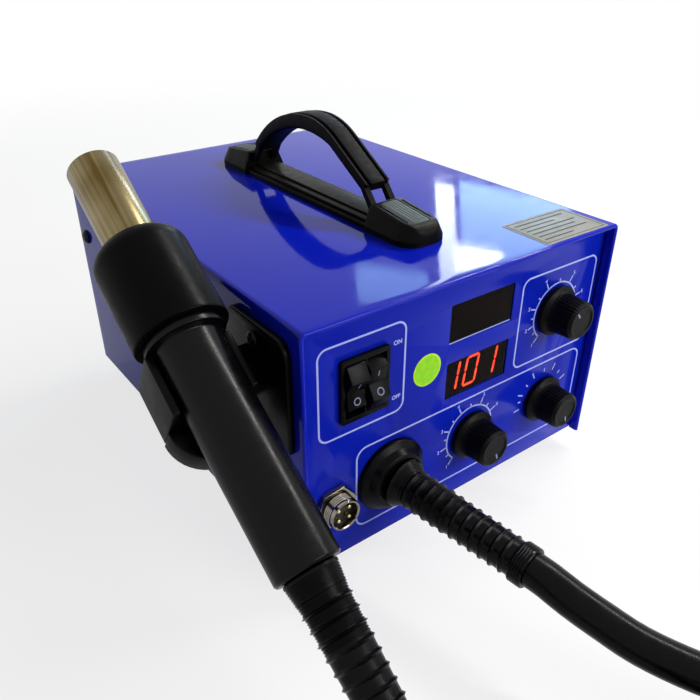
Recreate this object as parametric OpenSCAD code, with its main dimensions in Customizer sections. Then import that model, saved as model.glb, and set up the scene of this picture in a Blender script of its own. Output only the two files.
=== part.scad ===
// Hot air rework station: bench unit, carry handle, air gun in its side cradle, and air hose.
// Millimetres. +Z is up, -Y is the front panel, and the origin is on the table plane
// under the middle of the housing.

/* [Housing] */
// Width of the cover
body_w = 187; // [184:1:196]
// Depth of the cover, front lip to rear lip
body_d = 245; // [241:1:255]
// Height of the cover, without the feet
body_h = 125; // [123:1:132]
// Thickness of the enamelled sheet
sheet_t = 1.2; // [1:0.1:1.4]
// Distance that the front and rear panels sit back inside the cover
panel_setback = 5.5; // [4.5:0.5:7]
// Thickness of the folded hem round the open ends of the cover
hem_t = 2.2; // [1.8:0.1:2.6]
// Outside radius of the cover's top bends
bend_r = 3; // [2.8:0.2:4]
// Depth of the side flanges that the panels are screwed by
flange_d = 28; // [26:1:30]
// Height of the base tray's side flanges
tray_h = 18; // [16:1:20]

/* [Feet] */
// Height of a rubber foot
foot_h = 10; // [8:1:12]
// Largest diameter of a rubber foot
foot_d = 20; // [18:1:22]
// Distance between the feet across the housing
foot_span_x = 150; // [140:1:160]
// Distance of the feet's middles from the cover's front and rear lips
foot_end_y = 22.5; // [19.5:0.5:27.5]

/* [Carry handle] */
// Overall length of the carry handle
handle_l = 176; // [170:1:184]
// Width of the handle's end caps
handle_w = 26; // [24:1:28]
// Height of the bar between the end caps
bar_h = 5; // [4:0.5:6]
// Length of an end cap
cap_l = 32; // [30:1:34]
// Height of an end cap where the strap enters
cap_h = 12.5; // [12:0.5:14]
// Width of the strap
strap_w = 15; // [14:1:19]
// Thickness of the strap's legs
strap_t = 5; // [4:0.2:5.4]
// Thickness of the strap at its crown
strap_crown_t = 7.2; // [6:0.2:7.6]
// Height of the strap's crown above the cover
strap_rise = 42; // [40:1:46]
// Slope of the strap's front leg, in degrees
strap_slope = 31; // [30:1:32]
// Radius of the strap's crown where it bends into the front leg
crown_r = 44; // [40:1:48]
// Radius of the strap's fuller rear half
strap_rear_r = 68; // [64:1:72]

/* [Front panel] */
// Middle of the power switch from the left side
switch_x = 33.5; // [32.5:0.5:36.5]
// Height of the power switch above the base
switch_z = 88.8; // [84:0.1:90]
// Width of the power switch bezel
switch_w = 25; // [24.8:0.2:27]
// Height of the power switch bezel
switch_h = 30.4; // [30.4:0.2:32]
// Middle of the two display windows from the centre line
window_x = 7.8; // [6:0.2:9]
// Height of the upper display window above the base
window_z_upper = 99.8; // [98:0.2:102]
// Height of the lower display window above the base
window_z_lower = 70.3; // [68:0.1:73]
// Width of a display window
window_w = 40; // [38:0.5:42]
// Height of a display window
window_h = 19.6; // [18:0.2:21]
// Distance of the right-hand knobs from the right side
knob_x_right = 34; // [32.5:0.5:36.5]
// Position of the lower middle knob from the centre line
knob_x_middle = 7.5; // [5:0.5:10]
// Height of the upper knob above the base
knob_z_upper = 86; // [83:0.5:89]
// Height of the lower knobs above the base
knob_z_lower = 33.5; // [31:0.5:35]
// Distance of the iron socket from the left side
socket_x = 18; // [16.5:0.5:18.5]
// Height of the iron socket above the base
socket_z = 32; // [30:0.5:35]
// Distance of the hose gland from the left side
gland_x = 49.5; // [48.5:0.5:50.5]
// Height of the hose gland above the base
gland_z = 34; // [33:0.5:35]
// Diameter of the hose gland's flange
gland_d = 37; // [35:0.5:38]

/* [Knobs] */
// Diameter of a knob's fluted grip
knob_d = 19; // [18:0.2:20]
// Diameter of the knob's skirt
skirt_d = 26; // [22:0.2:27]
// Length of a knob
knob_h = 16.5; // [16:0.5:18]
// Diameter of a control shaft
shaft_d = 6; // [5.8:0.1:6.2]

/* [Rocker switch] */
// Tilt of a rocker from level, in degrees
rocker_tilt = 10; // [8:0.5:11]
// Radius of a rocker's ends about its pivot
rocker_r = 12.6; // [12.2:0.1:12.8]

/* [Iron socket] */
// Outside diameter of the socket's threaded shell
shell_d = 15.8; // [15:0.2:16]
// Distance that the shell stands out of the panel
shell_out = 9; // [8:0.5:10]

/* [Air gun] */
// Distance of the gun's axis from the housing's left wall
gun_offset = 26.8; // [26:0.2:28]
// Slope of the gun's axis above level, in degrees
gun_slope = 33; // [31:0.5:35]
// Position of the collar's lower rim along the housing
gun_y = -83; // [-86:1:-80]
// Height of the collar's lower rim above the table
gun_z = 126; // [124:1:128]
// Length of the handle below the collar
grip_l = 98; // [95:1:98]
// Diameter of the handle
grip_d = 27; // [26:0.2:27.4]
// Diameter of the collar
collar_d = 38.8; // [37:0.2:40]
// Length of the collar
collar_l = 43.5; // [42:0.5:46]
// Diameter of the hot air pipe
pipe_d = 22; // [21.6:0.1:22.4]
// Length of pipe outside the collar
pipe_out = 42.5; // [40:0.5:46]
// Wall of the hot air pipe
pipe_wall = 0.8; // [0.6:0.1:1]
// Wall of the handle tube
grip_wall = 2.6; // [2.2:0.1:3]

/* [Cradle] */
// Clearance between the handle and the cradle's trough
cradle_gap = 0.8; // [0.6:0.1:1.2]
// Wall of the cradle beside the handle
cradle_wall = 3.2; // [3:0.1:3.6]
// Depth of the cradle below the gun's axis
cradle_depth = 26; // [25:0.5:27]
// Length of the cradle's side walls
cradle_l = 25; // [23:1:27]
// Length of the rounded tongue in front of the side walls
tongue_l = 17; // [15:1:19]

/* [Hose] */
// Outside diameter of the hose
hose_d = 15; // [14:0.5:16]
// Outside diameter of the front sleeve's rings
sleeve_d = 17; // [16.5:0.1:18]
// Length of the front sleeve outside the gland
sleeve_l = 67; // [66:1:67]
// Outside diameter of the gun's hose sleeve at the handle
tail_d = 21; // [20:0.2:22]
// Length of the gun's hose sleeve
tail_l = 60; // [59:1:60]
// Radius of the hose coil at the middle of the hose
coil_r = 80; // [75:1:85]

/* [Rear panel] */
// Distance of the mains inlet's middle from the right side
inlet_x = 38.5; // [33.5:1:43.5]
// Height of the mains inlet above the base
inlet_z = 48; // [44:1:54]
// Distance between the mains inlet's fixing screws
inlet_pitch = 40; // [40:0.5:41]
// Number of vent slots in the rear panel
vent_count = 9; // [6:1:10]
// Distance between vent slots
vent_pitch = 9; // [8:0.5:9.5]

/* [Inside] */
// Width of the transformer's core
core_w = 66; // [62:1:68]
// Stack depth of the transformer's core
core_d = 30; // [26:1:32]
// Height of the transformer's core
core_h = 54; // [50:1:56]
// Length of the pump's base plate
pump_l = 104; // [100:1:108]
// Width of the pump's base plate
pump_w = 66; // [62:1:68]
// Bore of the internal air tube
air_bore = 6; // [5:0.5:7]
// Outside diameter of the internal air tube
air_d = 10; // [9:0.5:10.5]

/* [Hidden] */

$fn = 48;

// Fits and clearances
gap = 0.3;            // between pieces that lie side by side
run_gap = 0.05;       // radial clearance of a shaft or a pivot in its bore
hole_gap = 0.2;       // radial clearance of a screw in its hole
cut = 1;              // how far a cutting shape runs past the face it cuts

// Screws
screw_d = 3;
screw_head_d = 6.4;
screw_head_h = 2;
cover_screw_d = 3.6;
cover_head_d = 8.4;
cover_head_h = 2.4;
cover_screw_l = 7;

// Planes of the housing
body_z0 = foot_h;
body_top = foot_h + body_h;
floor_top = body_z0 + sheet_t;
front_y = -body_d / 2 + panel_setback;
rear_y = body_d / 2 - panel_setback;
wall_in = body_w / 2 - sheet_t;
panel_half_w = wall_in - gap;
panel_top = body_top - sheet_t - gap;
hem_l = panel_setback - gap;

// Screws in the side walls: [side, distance along the housing, height]
side_screw_front_y = front_y + sheet_t + flange_d - 8;
side_screw_rear_y = rear_y - sheet_t - 5;
side_screw_top_z = body_top - 6;
side_screw_mid_z = body_top - 37;
side_screw_low_z = body_z0 + tray_h / 2 + 1;
side_screw_front_low_z = body_z0 + socket_z + 18;
side_screws = [
    [-1, side_screw_front_y, side_screw_front_low_z],
    [1, side_screw_front_y, side_screw_top_z],
    for (s = [-1, 1]) each [
        [s, side_screw_rear_y, side_screw_mid_z],
        [s, -body_d * 0.22, side_screw_low_z],
        [s, body_d * 0.22, side_screw_low_z]
    ]
];

// Feet
foot_places = [for (sx = [-1, 1], sy = [-1, 1]) [sx * foot_span_x / 2, sy * (body_d / 2 - foot_end_y)]];
foot_recess = foot_h * 0.55;

// Carry handle
cap_in_y = handle_l / 2 - cap_l;
cap_screw_y = handle_l / 2 - 14;
cap_drop = 3;
insert_w = 10;
insert_l = 25;
insert_t = 1.6;
cap_rim = 1.6;
cap_groove = 1;
strap_top = body_top + strap_rise;
strap_end_y = cap_in_y - 6;
strap_rear_slope = asin(strap_end_y / strap_rear_r);
strap_leg_l = (strap_end_y - crown_r * sin(strap_slope)) / cos(strap_slope);
band_w = 10.4;
band_out = 1;
rail_w = 3;
rail_x = strap_w / 2 - rail_w / 2 - 0.1;
rail_lift = 1.2;
rail_foot_t = 3.2;
rail_foot_in = 6;

// Middles of the fittings that keep their distance from a side wall
switch_mid = -body_w / 2 + switch_x;
socket_mid = -body_w / 2 + socket_x;
gland_mid = -body_w / 2 + gland_x;
inlet_mid = body_w / 2 - inlet_x;

// Front panel openings and fittings
bezel_rim = 2;
bezel_out = 2.4;
switch_body_d = 24;
pivot_pin_r = 1.2;
pivot_pin_l = 0.4;
divider_t = 1;
rocker_slot_w = (switch_w - 2 * bezel_rim - divider_t) / 2;
rocker_w = rocker_slot_w - 2 * gap;
rocker_slot_h = 2 * (rocker_r + gap);
rocker_valley = 2.2;
rocker_peak = 5.1;
rocker_peak_up = 6.8;
rocker_back = 4;
rocker_well = 8;

window_recess = 0.5;
window_t = 1.5;
module_t = 7;
display_board_t = 1.6;
module_y = front_y + window_recess + window_t;
display_board_y = module_y + module_t;

bushing_d = 7;
bushing_out = 6.2;
pot_d = 17;
pot_t = 9;
nut_af = 10;
nut_t = 2;
shaft_out = 14;
knob_clear = 0.8;
flute_count = 18;
flute_d = 1.7;

knob_places = [
    ["heater", body_w / 2 - knob_x_right, knob_z_upper],
    ["air", knob_x_middle, knob_z_lower],
    ["iron", body_w / 2 - knob_x_right, knob_z_lower]
];

shell_bore = shell_d - 3;
shell_neck_r = shell_d / 2 - 0.5;
socket_nut_af = 19;
socket_nut_t = 2.6;
socket_back = 12;
pin_d = 1.8;
pin_ring_r = 3.9;
insert_recess = 4;

gland_t = 4;
gland_out = gland_t + 4;
gland_bore = sleeve_d + 2 * gap;
gland_spigot_d = 24;
gland_spigot_l = 10;

// Hose routes, chosen by hand
gland_face = [gland_mid, front_y, body_z0 + gland_z];
sleeve_end = [-33.9, -193.4, 41];
hose_front_route = [
    [-33.85, -193.45, 41], [-32.95, -200.3, 40.6], [-31, -210, 38.2], [-26.5, -222, 34],
    [-21, -236, 29.8], [-12, -254, 27], [0, -272, 25], [14, -290, 24],
    [27, -308, 23], [36, -328, 22.5], [40, -350, 22.5]
];
hose_gun_route = [
    [-120, -216, 39.6], [-120, -222, 35.3], [-120, -232, 28.5], [-120, -244, 21.5],
    [-120, -258, 15], [-120, -274, 10.5], [-120, -292, 8], [-120, -310, 7.5],
    [-120, -330, 7.5], [-120, -350, 7.5]
];
coil_centre = [-40, -350];
hose_sides = 10;

// Air gun, built up its own axis from the collar's lower rim
gun_x = -body_w / 2 - gun_offset;
root_r = 16.5;
root_l = 3.7;
shoulder_l = 8;
pipe_swage = 0.6;
collar_bore = pipe_d + 2 * (pipe_swage + gap);
pipe_in = 34;
liner_d = pipe_d - 2 * pipe_wall - 1;
liner_wall = 0.5;
former_r = 3.4;
coil_wire = 1.1;
coil_turns = 9;
coil_loop_r = liner_d / 2 - liner_wall - coil_wire - 0.4;
heater_l = 62;
heater_tip = collar_l + pipe_out - 14;
heater_start = heater_tip - heater_l;
grip_step = 0.6;
ring_pitch = 5;
ring_l = 1.4;
ring_out = 0.8;
tail_end_d = hose_d + 2;
sleeve_root_d = 24;
sleeve_root_l = 16;
sleeve_plug_l = 8;
hose_bore = hose_d - 5;
sleeve_dir = sleeve_end - gland_face;
sleeve_yaw = atan2(sleeve_dir[0], -sleeve_dir[1]);
sleeve_drop = atan2(-sleeve_dir[2], norm([sleeve_dir[0], sleeve_dir[1]]));

// Cradle
cradle_in_r = grip_d / 2 + cradle_gap;
cradle_half_w = cradle_in_r + cradle_wall;
cradle_top = 1.5;
cradle_rear = -root_l - gap;
cradle_front = cradle_rear - cradle_l;
cradle_floor_t = 3;
plate_t = 3;
plate_w = 46;
plate_h = 54;
plate_hole_pitch = 40;
plate_drop = 4;
plate_forward = 4;

// Mains inlet on the rear panel
inlet_flange_w = 31;
inlet_flange_h = 50;
inlet_flange_t = 3;
inlet_body_w = 27;
inlet_body_h = 46;
inlet_body_d = 24;
inlet_mouth_w = 24;
inlet_mouth_h = 16.6;
inlet_mouth_d = 16;
inlet_mouth_up = 9;
drawer_w = 21;
drawer_h = 11;
drawer_d = 20;
drawer_down = 14;
fuse_d = 5.2;
fuse_l = 16;
blade_w = 4;
blade_t = 2;

// Transformer, at the left rear
tf_foot = 11;
tf_x = -panel_half_w + sheet_t + 2.8 + tf_foot + core_w / 2;
tf_y = rear_y - sheet_t - 20.8 - core_d / 2;
tf_leg = core_w / 3;
tf_yoke = core_w / 6;
tf_window_w = (core_w - tf_leg - 2 * tf_yoke) / 2;
tf_window_h = core_h - 2 * tf_yoke;
tf_lift = 2;
tf_out = 9;
strap_sheet = 1.5;

// Pump, at the right
pump_x = panel_half_w - sheet_t - 13.8 - pump_w / 2;
pump_y = 12;
pump_lift = 9;
pump_base_t = 2.5;
pump_base_z = floor_top + pump_lift;
pump_deck = pump_base_z + pump_base_t;
pump_wall_h = 52;
magnet_w = 30;
magnet_y = 20;
magnet_leg = 9;
magnet_gap = 3.5;
magnet_h = 30;
magnet_slot_up = magnet_h / 4;
magnet_slot_h = 6;
magnet_l = pump_l / 2 - pump_base_t - magnet_y - gap;
winding_start = 3;
winding_l = magnet_l - magnet_leg - winding_start - gap;
arm_t = 4;
arm_w = 16;
arm_l = 40;
arm_magnet_l = 16;
arm_pin_r = 2;
arm_y = magnet_y - magnet_gap - arm_t;
arm_top_z = pump_deck + 44;
chamber_w = 44;
chamber_d = 20;
chamber_h = 40;
chamber_y = arm_y - 17;
diaphragm_r = 15;
diaphragm_gap = 0.7;
nozzle_d = air_bore - 2 * run_gap;

// Main board, at the left front
board_w = 70;
board_x = -panel_half_w + sheet_t + 7.8 + board_w / 2;
board_y = -28;
board_l = 92;
board_t = 1.6;
board_lift = 8;
spacer_d = 6;
board_z = floor_top + board_lift;

// Stands a flat drawing on a plane that faces the front
module facing_front(y) {
    translate([0, y, 0]) rotate([90, 0, 0]) children();
}

// Stands a flat drawing, its x along the housing, on a plane across it
module across(x) {
    translate([x, 0, 0]) rotate([90, 0, 90]) children();
}

// Puts what is built up +Z on the gun's axis, with z 0 at the collar's lower rim
module on_gun() {
    translate([gun_x, gun_y, gun_z]) rotate([gun_slope - 90, 0, 0]) children();
}

// Puts a child on the gun's axis with y pointing up, square to the axis
module on_cradle() {
    on_gun() mirror([0, 1, 0]) children();
}

// A flat rectangle with round corners, centred
module round_rect(w, h, r) {
    square([w - 2 * r, h], center = true);
    square([w, h - 2 * r], center = true);
    for (x = [-1, 1], y = [-1, 1])
        translate([x * (w / 2 - r), y * (h / 2 - r)]) circle(r);
}

// A ring along Z from z 0
module ring(d, bore, h) {
    difference() {
        cylinder(d = d, h = h);
        translate([0, 0, -cut]) cylinder(d = bore, h = h + 2 * cut);
    }
}

// A six-sided nut with a round bore
module hex_nut(af, bore, h) {
    difference() {
        cylinder(d = af / cos(30), h = h, $fn = 6);
        translate([0, 0, -cut]) cylinder(d = bore, h = h + 2 * cut);
    }
}

// A pan head screw that hangs down from z 0, with its head above
module pan_screw(d, head_d, head_h, l) {
    rotate_extrude() polygon([
        [0, -l], [d / 2 - 0.4, -l], [d / 2, -l + 0.6], [d / 2, 0], [head_d / 2, 0],
        [head_d / 2, head_h * 0.55], [head_d / 2 - head_h * 0.45, head_h],
        [1, head_h], [1, head_h * 0.45], [0, head_h * 0.45]
    ]);
}

// The cover's upside-down U, with r as its outside bend
module u_outline(half_w, top, r) {
    translate([-half_w, 0]) square([2 * half_w, top - r]);
    translate([-half_w + r, 0]) square([2 * (half_w - r), top]);
    for (s = [-1, 1]) translate([s * (half_w - r), top - r]) circle(r);
}

module u_section(t) {
    difference() {
        u_outline(body_w / 2, body_h, bend_r);
        translate([0, -cut]) u_outline(body_w / 2 - t, body_h - t + cut, max(bend_r - t, 0.4));
    }
}

// Holes for the side screws, through the wall and the flange behind it
module side_screw_holes() {
    for (p = side_screws)
        translate([p[0] * (body_w / 2 + cut), p[1], p[2]]) rotate([0, -p[0] * 90, 0])
            cylinder(d = cover_screw_d + 2 * hole_gap, h = 2 * sheet_t + gap + 2 * cut);
}

// Holes for the cradle's screws, through the same two sheets
module cradle_screw_holes() {
    for (p = cradle_screw_places) translate([-body_w / 2 - cut, p[0], p[1]]) rotate([0, 90, 0])
        cylinder(d = screw_d + 2 * hole_gap, h = 2 * sheet_t + gap + 2 * cut);
}

module cover() {
    color("mediumblue") difference() {
        union() {
            translate([0, body_d / 2, body_z0]) facing_front(0) linear_extrude(body_d)
                u_section(sheet_t);
            for (y = [-body_d / 2 + hem_l, body_d / 2])
                translate([0, y, body_z0]) facing_front(0) linear_extrude(hem_l)
                    u_section(hem_t);
        }
        side_screw_holes();
        for (s = [-1, 1]) translate([0, s * cap_screw_y, body_top - sheet_t - cut])
            cylinder(d = screw_d + 2 * hole_gap, h = sheet_t + 2 * cut);
        cradle_screw_holes();
    }
}

module base_tray() {
    tray_front = front_y + sheet_t;
    tray_l = rear_y - front_y - 2 * sheet_t;
    side_front = tray_front + flange_d + gap;
    side_l = tray_l - 2 * flange_d - 2 * gap;
    color("mediumblue") difference() {
        union() {
            translate([-panel_half_w, tray_front, body_z0])
                cube([2 * panel_half_w, tray_l, sheet_t]);
            for (s = [-1, 1])
                translate([s * (panel_half_w - sheet_t / 2) - sheet_t / 2, side_front, body_z0])
                    cube([sheet_t, side_l, tray_h]);
        }
        for (p = foot_places) translate([p[0], p[1], body_z0 - cut])
            cylinder(d = screw_d + 2 * hole_gap, h = sheet_t + 2 * cut);
        side_screw_holes();
        for (i = [-4:4]) translate([pump_x + i * 7 - 1.5, pump_y - 20, body_z0 - cut])
            cube([3, 40, sheet_t + 2 * cut]);
    }
}

// A panel with two side flanges, drawn for the front, its top corners clear of the bends
module panel_shell(flange) {
    corner = bend_r / 2 + 0.3;
    facing_front(front_y + sheet_t) linear_extrude(sheet_t) polygon([
        [-panel_half_w, body_z0], [panel_half_w, body_z0], [panel_half_w, panel_top - corner],
        [panel_half_w - corner, panel_top], [-panel_half_w + corner, panel_top],
        [-panel_half_w, panel_top - corner]
    ]);
    for (s = [-1, 1])
        translate([s * (panel_half_w - sheet_t / 2) - sheet_t / 2, front_y + sheet_t / 2, floor_top])
            cube([sheet_t, flange + sheet_t / 2, panel_top - corner - floor_top]);
}

module switch_hole() {
    translate([switch_mid, body_z0 + switch_z]) square([switch_w - 2, switch_h - 2.4], center = true);
}

module front_panel() {
    color("mediumblue") difference() {
        panel_shell(flange_d);
        facing_front(front_y + sheet_t + cut) linear_extrude(sheet_t + 2 * cut) {
            switch_hole();
            for (z = [window_z_upper, window_z_lower])
                translate([window_x, body_z0 + z]) square([window_w, window_h], center = true);
        }
        for (k = knob_places) translate([k[1], 0, body_z0 + k[2]]) facing_front(front_y + sheet_t + cut)
            cylinder(d = bushing_d + 2 * hole_gap, h = sheet_t + 2 * cut);
        translate([socket_mid, 0, body_z0 + socket_z]) facing_front(front_y + sheet_t + cut)
            cylinder(d = shell_d + 2 * hole_gap, h = sheet_t + 2 * cut);
        translate([gland_mid, 0, body_z0 + gland_z]) facing_front(front_y + sheet_t + cut)
            cylinder(d = gland_spigot_d + 2 * hole_gap, h = sheet_t + 2 * cut);
        side_screw_holes();
        cradle_screw_holes();
    }
}

module rear_panel() {
    vent_w = 4;
    vent_h = 34;
    vent_rows = [30, 30 + vent_h + 12];
    color("mediumblue") difference() {
        rotate([0, 0, 180]) panel_shell(flange_d);
        translate([inlet_mid - inlet_body_w / 2 - gap, rear_y - sheet_t - cut, body_z0 + inlet_z - inlet_body_h / 2 - gap])
            cube([inlet_body_w + 2 * gap, sheet_t + 2 * cut, inlet_body_h + 2 * gap]);
        for (s = [-1, 1]) translate([inlet_mid + s * inlet_pitch / 2, rear_y + cut, body_z0 + inlet_z])
            rotate([90, 0, 0]) cylinder(d = screw_d + 2 * hole_gap, h = sheet_t + 2 * cut);
        for (i = [0:vent_count - 1], z = vent_rows)
            translate([-panel_half_w + 6 + i * vent_pitch, rear_y + cut, body_z0 + z])
            rotate([90, 0, 0]) linear_extrude(sheet_t + 2 * cut) round_rect(vent_w, vent_h, vent_w / 2 - 0.05);
        side_screw_holes();
    }
}

module cover_screws() {
    color("black") for (p = side_screws)
        translate([p[0] * body_w / 2, p[1], p[2]]) rotate([0, p[0] * 90, 0])
            pan_screw(cover_screw_d, cover_head_d, cover_head_h, cover_screw_l);
}

module rubber_feet() {
    taper = 1.5;
    color("#161616") for (p = foot_places) translate([p[0], p[1], 0]) rotate_extrude() polygon([
        [screw_d / 2 + hole_gap, body_z0], [foot_d / 2, body_z0], [foot_d / 2 - taper, 1],
        [foot_d / 2 - taper - 1, 0], [screw_head_d / 2 + 1, 0], [screw_head_d / 2 + 1, foot_recess],
        [screw_d / 2 + hole_gap, foot_recess]
    ]);
}

module feet_screws() {
    color("silver") for (p = foot_places) translate([p[0], p[1], foot_recess]) mirror([0, 0, 1])
        pan_screw(screw_d, screw_head_d, screw_head_h, foot_h - foot_recess + sheet_t + 3);
}

// The bar under the strap: a base strip, a stepped middle and a raised rib
module handle_bar() {
    color("#1b1b1d") difference() {
        translate([0, 0, body_top]) {
            linear_extrude(bar_h * 0.5) round_rect(handle_w - 3, handle_l - 10, 6);
            linear_extrude(bar_h * 0.8) round_rect(handle_w - 7, 2 * cap_in_y - 2 * gap, 1.5);
            linear_extrude(bar_h) round_rect(handle_w - 15, 2 * cap_in_y - 2 * gap, 1.5);
        }
        for (s = [-1, 1]) translate([0, s * cap_screw_y, body_top - cut])
            cylinder(d = screw_d + 2 * hole_gap, h = bar_h + 2 * cut);
    }
}

// Points of an arc in the strap's side view, its angles taken from the crown
function arc_points(r, top, from, to, steps) =
    [for (i = [0:steps]) let (a = from + (to - from) * i / steps) [r * sin(a), top - r * (1 - cos(a))]];

// Line along the strap, depth below its outer face and running past its ends
function strap_line(depth, past = 0) = let (
    front = arc_points(crown_r - depth, strap_top - depth, -strap_slope, 0, 10),
    rear = arc_points(strap_rear_r - depth, strap_top - depth, 0, strap_rear_slope, 14),
    leg = strap_leg_l + past
) concat(
    [front[0] - leg * [cos(strap_slope), sin(strap_slope)]], front,
    [for (i = [1:14]) rear[i]],
    past > 0 ? [rear[14] + past * [cos(strap_rear_slope), -sin(strap_rear_slope)]] : []
);

// Extra radius of an underside arc over that of an even strap
function fuller(slope) = (strap_crown_t - strap_t) / (1 - cos(slope));

// Underside of the strap, which thickens from its ends to the crown
function strap_underside() = let (
    top = strap_top - strap_crown_t,
    front_r = crown_r - strap_crown_t + fuller(strap_slope),
    rear_r = strap_rear_r - strap_crown_t + fuller(strap_rear_slope),
    ends = strap_line(strap_t),
    rear_end = ends[len(ends) - 1]
) concat(
    [ends[0]], arc_points(front_r, top, -strap_slope, 0, 10),
    [for (p = arc_points(rear_r, top, 0, strap_rear_slope, 14)) if (p[0] > 0 && p[0] < rear_end[0] - 0.5) p],
    [rear_end]
);

function turned(points) = [for (i = [len(points) - 1:-1:0]) points[i]];

// A rail that leaves the strap's end steeply and ends in a flat foot, drawn for the front.
// end is the middle of the strap's end face and slope is the leg's.
module rail_profile(end, slope) {
    foot_z = body_top + bar_h + rail_lift;
    inward = [cos(slope), sin(slope)];
    out = [-sin(slope), cos(slope)];
    polygon([
        end + 1.5 * inward + (strap_t / 2 - 1.3) * out, [-cap_in_y - 0.2, foot_z + rail_foot_t],
        [-cap_in_y - rail_foot_in, foot_z + rail_foot_t], [-cap_in_y - rail_foot_in, foot_z],
        [-cap_in_y + 1.8, foot_z], end + 1.5 * inward - (strap_t / 2 - 0.6) * out
    ]);
}

module handle_strap() {
    groove = 1.2;
    middle = strap_line(strap_t / 2);
    rear_end = middle[len(middle) - 1];
    color("#242427") difference() {
        union() {
            across(0) linear_extrude(strap_w, center = true)
                polygon(concat(strap_line(0), turned(strap_underside())));
            across(0) linear_extrude(band_w, center = true)
                polygon(concat(strap_line(-band_out), turned(strap_line(strap_t / 2))));
            for (x = [-1, 1]) across(x * rail_x) linear_extrude(rail_w, center = true) {
                rail_profile(middle[0], strap_slope);
                mirror([1, 0]) rail_profile([-rear_end[0], rear_end[1]], strap_rear_slope);
            }
        }
        for (x = [-1, 1]) across(x * (band_w / 2 + groove / 2)) linear_extrude(groove, center = true)
            polygon(concat(strap_line(-2 * band_out, cut), turned(strap_line(0.9, cut))));
    }
}

// One end cap, drawn for the front
module end_cap() {
    cap_w2 = handle_w / 2;
    nose_r = 9;
    z0 = body_top + bar_h * 0.5;
    outer = handle_l / 2;
    difference() {
        hull() {
            for (x = [-1, 1]) {
                translate([x * (cap_w2 - nose_r), -outer + nose_r, body_top]) cylinder(r = nose_r, h = 3, $fn = 32);
                translate([x * (cap_w2 - 1.5), -cap_in_y - 1.5, body_top]) cylinder(r = 1.5, h = 3, $fn = 32);
                translate([x * (cap_w2 - nose_r - 1.6), -outer + nose_r + 2.5, body_top + 4])
                    cylinder(r = nose_r - 2, h = cap_h - cap_drop - 4, $fn = 32);
                translate([x * (cap_w2 - 4.5), -cap_in_y - 1, body_top + 4])
                    cylinder(r = 1, h = cap_h - 4, $fn = 32);
            }
        }
        // Seat on the bar and the passage for the screw
        translate([0, 0, body_top - cut]) linear_extrude(bar_h * 0.5 + cut)
            round_rect(handle_w - 3 + 2 * gap, handle_l - 10 + 2 * gap, 6 + gap);
        translate([0, -cap_screw_y, body_top]) cylinder(d = screw_d + 2 * hole_gap, h = cap_h + cut);
        translate([0, -cap_screw_y, z0 + 1.5]) cylinder(d = screw_head_d + 1, h = cap_h);
        // Seat of the insert, and a narrow groove on each side of it
        insert_frame() translate([0, 0, -insert_t]) linear_extrude(insert_t + 4 * cut)
            round_rect(insert_w, insert_l, 1.2);
        for (x = [-1, 1]) insert_frame() translate([x * (insert_w / 2 + 2), 0, 2 * cut - 0.8])
            cube([cap_groove, insert_l - 4, 4 * cut], center = true);
        // Slots for the strap's two rails
        for (x = [-1, 1]) across(x * rail_x) linear_extrude(rail_w + 2 * gap, center = true) rail_slot_profile();
    }
}

// The sloping top face of an end cap, with z 0 on the face
module insert_frame() {
    slope_l = cap_l - 6;
    mid_y = -cap_in_y - cap_rim - insert_l / 2;
    tilt = atan2(cap_drop, slope_l);
    drop = (cap_rim + insert_l / 2 - 1) * cap_drop / slope_l;
    translate([0, mid_y, body_top + cap_h - drop - 0.1]) rotate([tilt, 0, 0]) children();
}

// A rail's foot with a clearance round it, flaring towards the strap
module rail_slot_profile() {
    foot_z = body_top + bar_h + rail_lift;
    mouth = -cap_in_y + cut;
    polygon([
        [mouth, foot_z - gap], [-cap_in_y - rail_foot_in - gap, foot_z - gap],
        [-cap_in_y - rail_foot_in - gap, foot_z + rail_foot_t + gap],
        [-cap_in_y - 3, foot_z + rail_foot_t + gap], [mouth, foot_z + rail_foot_t + gap + 1.6]
    ]);
}

module handle_end_caps() {
    color("#19191b") for (a = [0, 180]) rotate([0, 0, a]) end_cap();
}

module handle_cap_inserts() {
    color("#b9bab4") for (a = [0, 180]) rotate([0, 0, a]) insert_frame()
        translate([0, 0, -insert_t + 0.1]) linear_extrude(insert_t)
            round_rect(insert_w - 2 * gap, insert_l - 2 * gap, 1);
}

// Fixing screws that share one size: handle, cradle, mains inlet
module fixing_screws() {
    color("silver") {
        for (s = [-1, 1]) translate([0, s * cap_screw_y, body_top + bar_h * 0.5 + 1.5])
            pan_screw(screw_d, screw_head_d, screw_head_h, 9);
        for (p = cradle_screw_places) translate([-body_w / 2 - plate_t, p[0], p[1]]) rotate([0, -90, 0])
            pan_screw(screw_d, screw_head_d, screw_head_h, 9);
        for (s = [-1, 1]) translate([inlet_mid + s * inlet_pitch / 2, rear_y + inlet_flange_t, body_z0 + inlet_z])
            rotate([-90, 0, 0]) pan_screw(screw_d, screw_head_d, screw_head_h, 9);
    }
}

// Middle of the cradle's plate and its two screws
cradle_mid_s = cradle_rear - cradle_l / 2;
plate_y = gun_y + cradle_mid_s * cos(gun_slope) + cradle_depth / 2 * sin(gun_slope) - plate_forward;
plate_z = gun_z + cradle_mid_s * sin(gun_slope) - cradle_depth / 2 * cos(gun_slope) - plate_drop;
cradle_screw_places = [for (s = [-1, 1]) [plate_y, plate_z + s * plate_hole_pitch / 2]];

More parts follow.
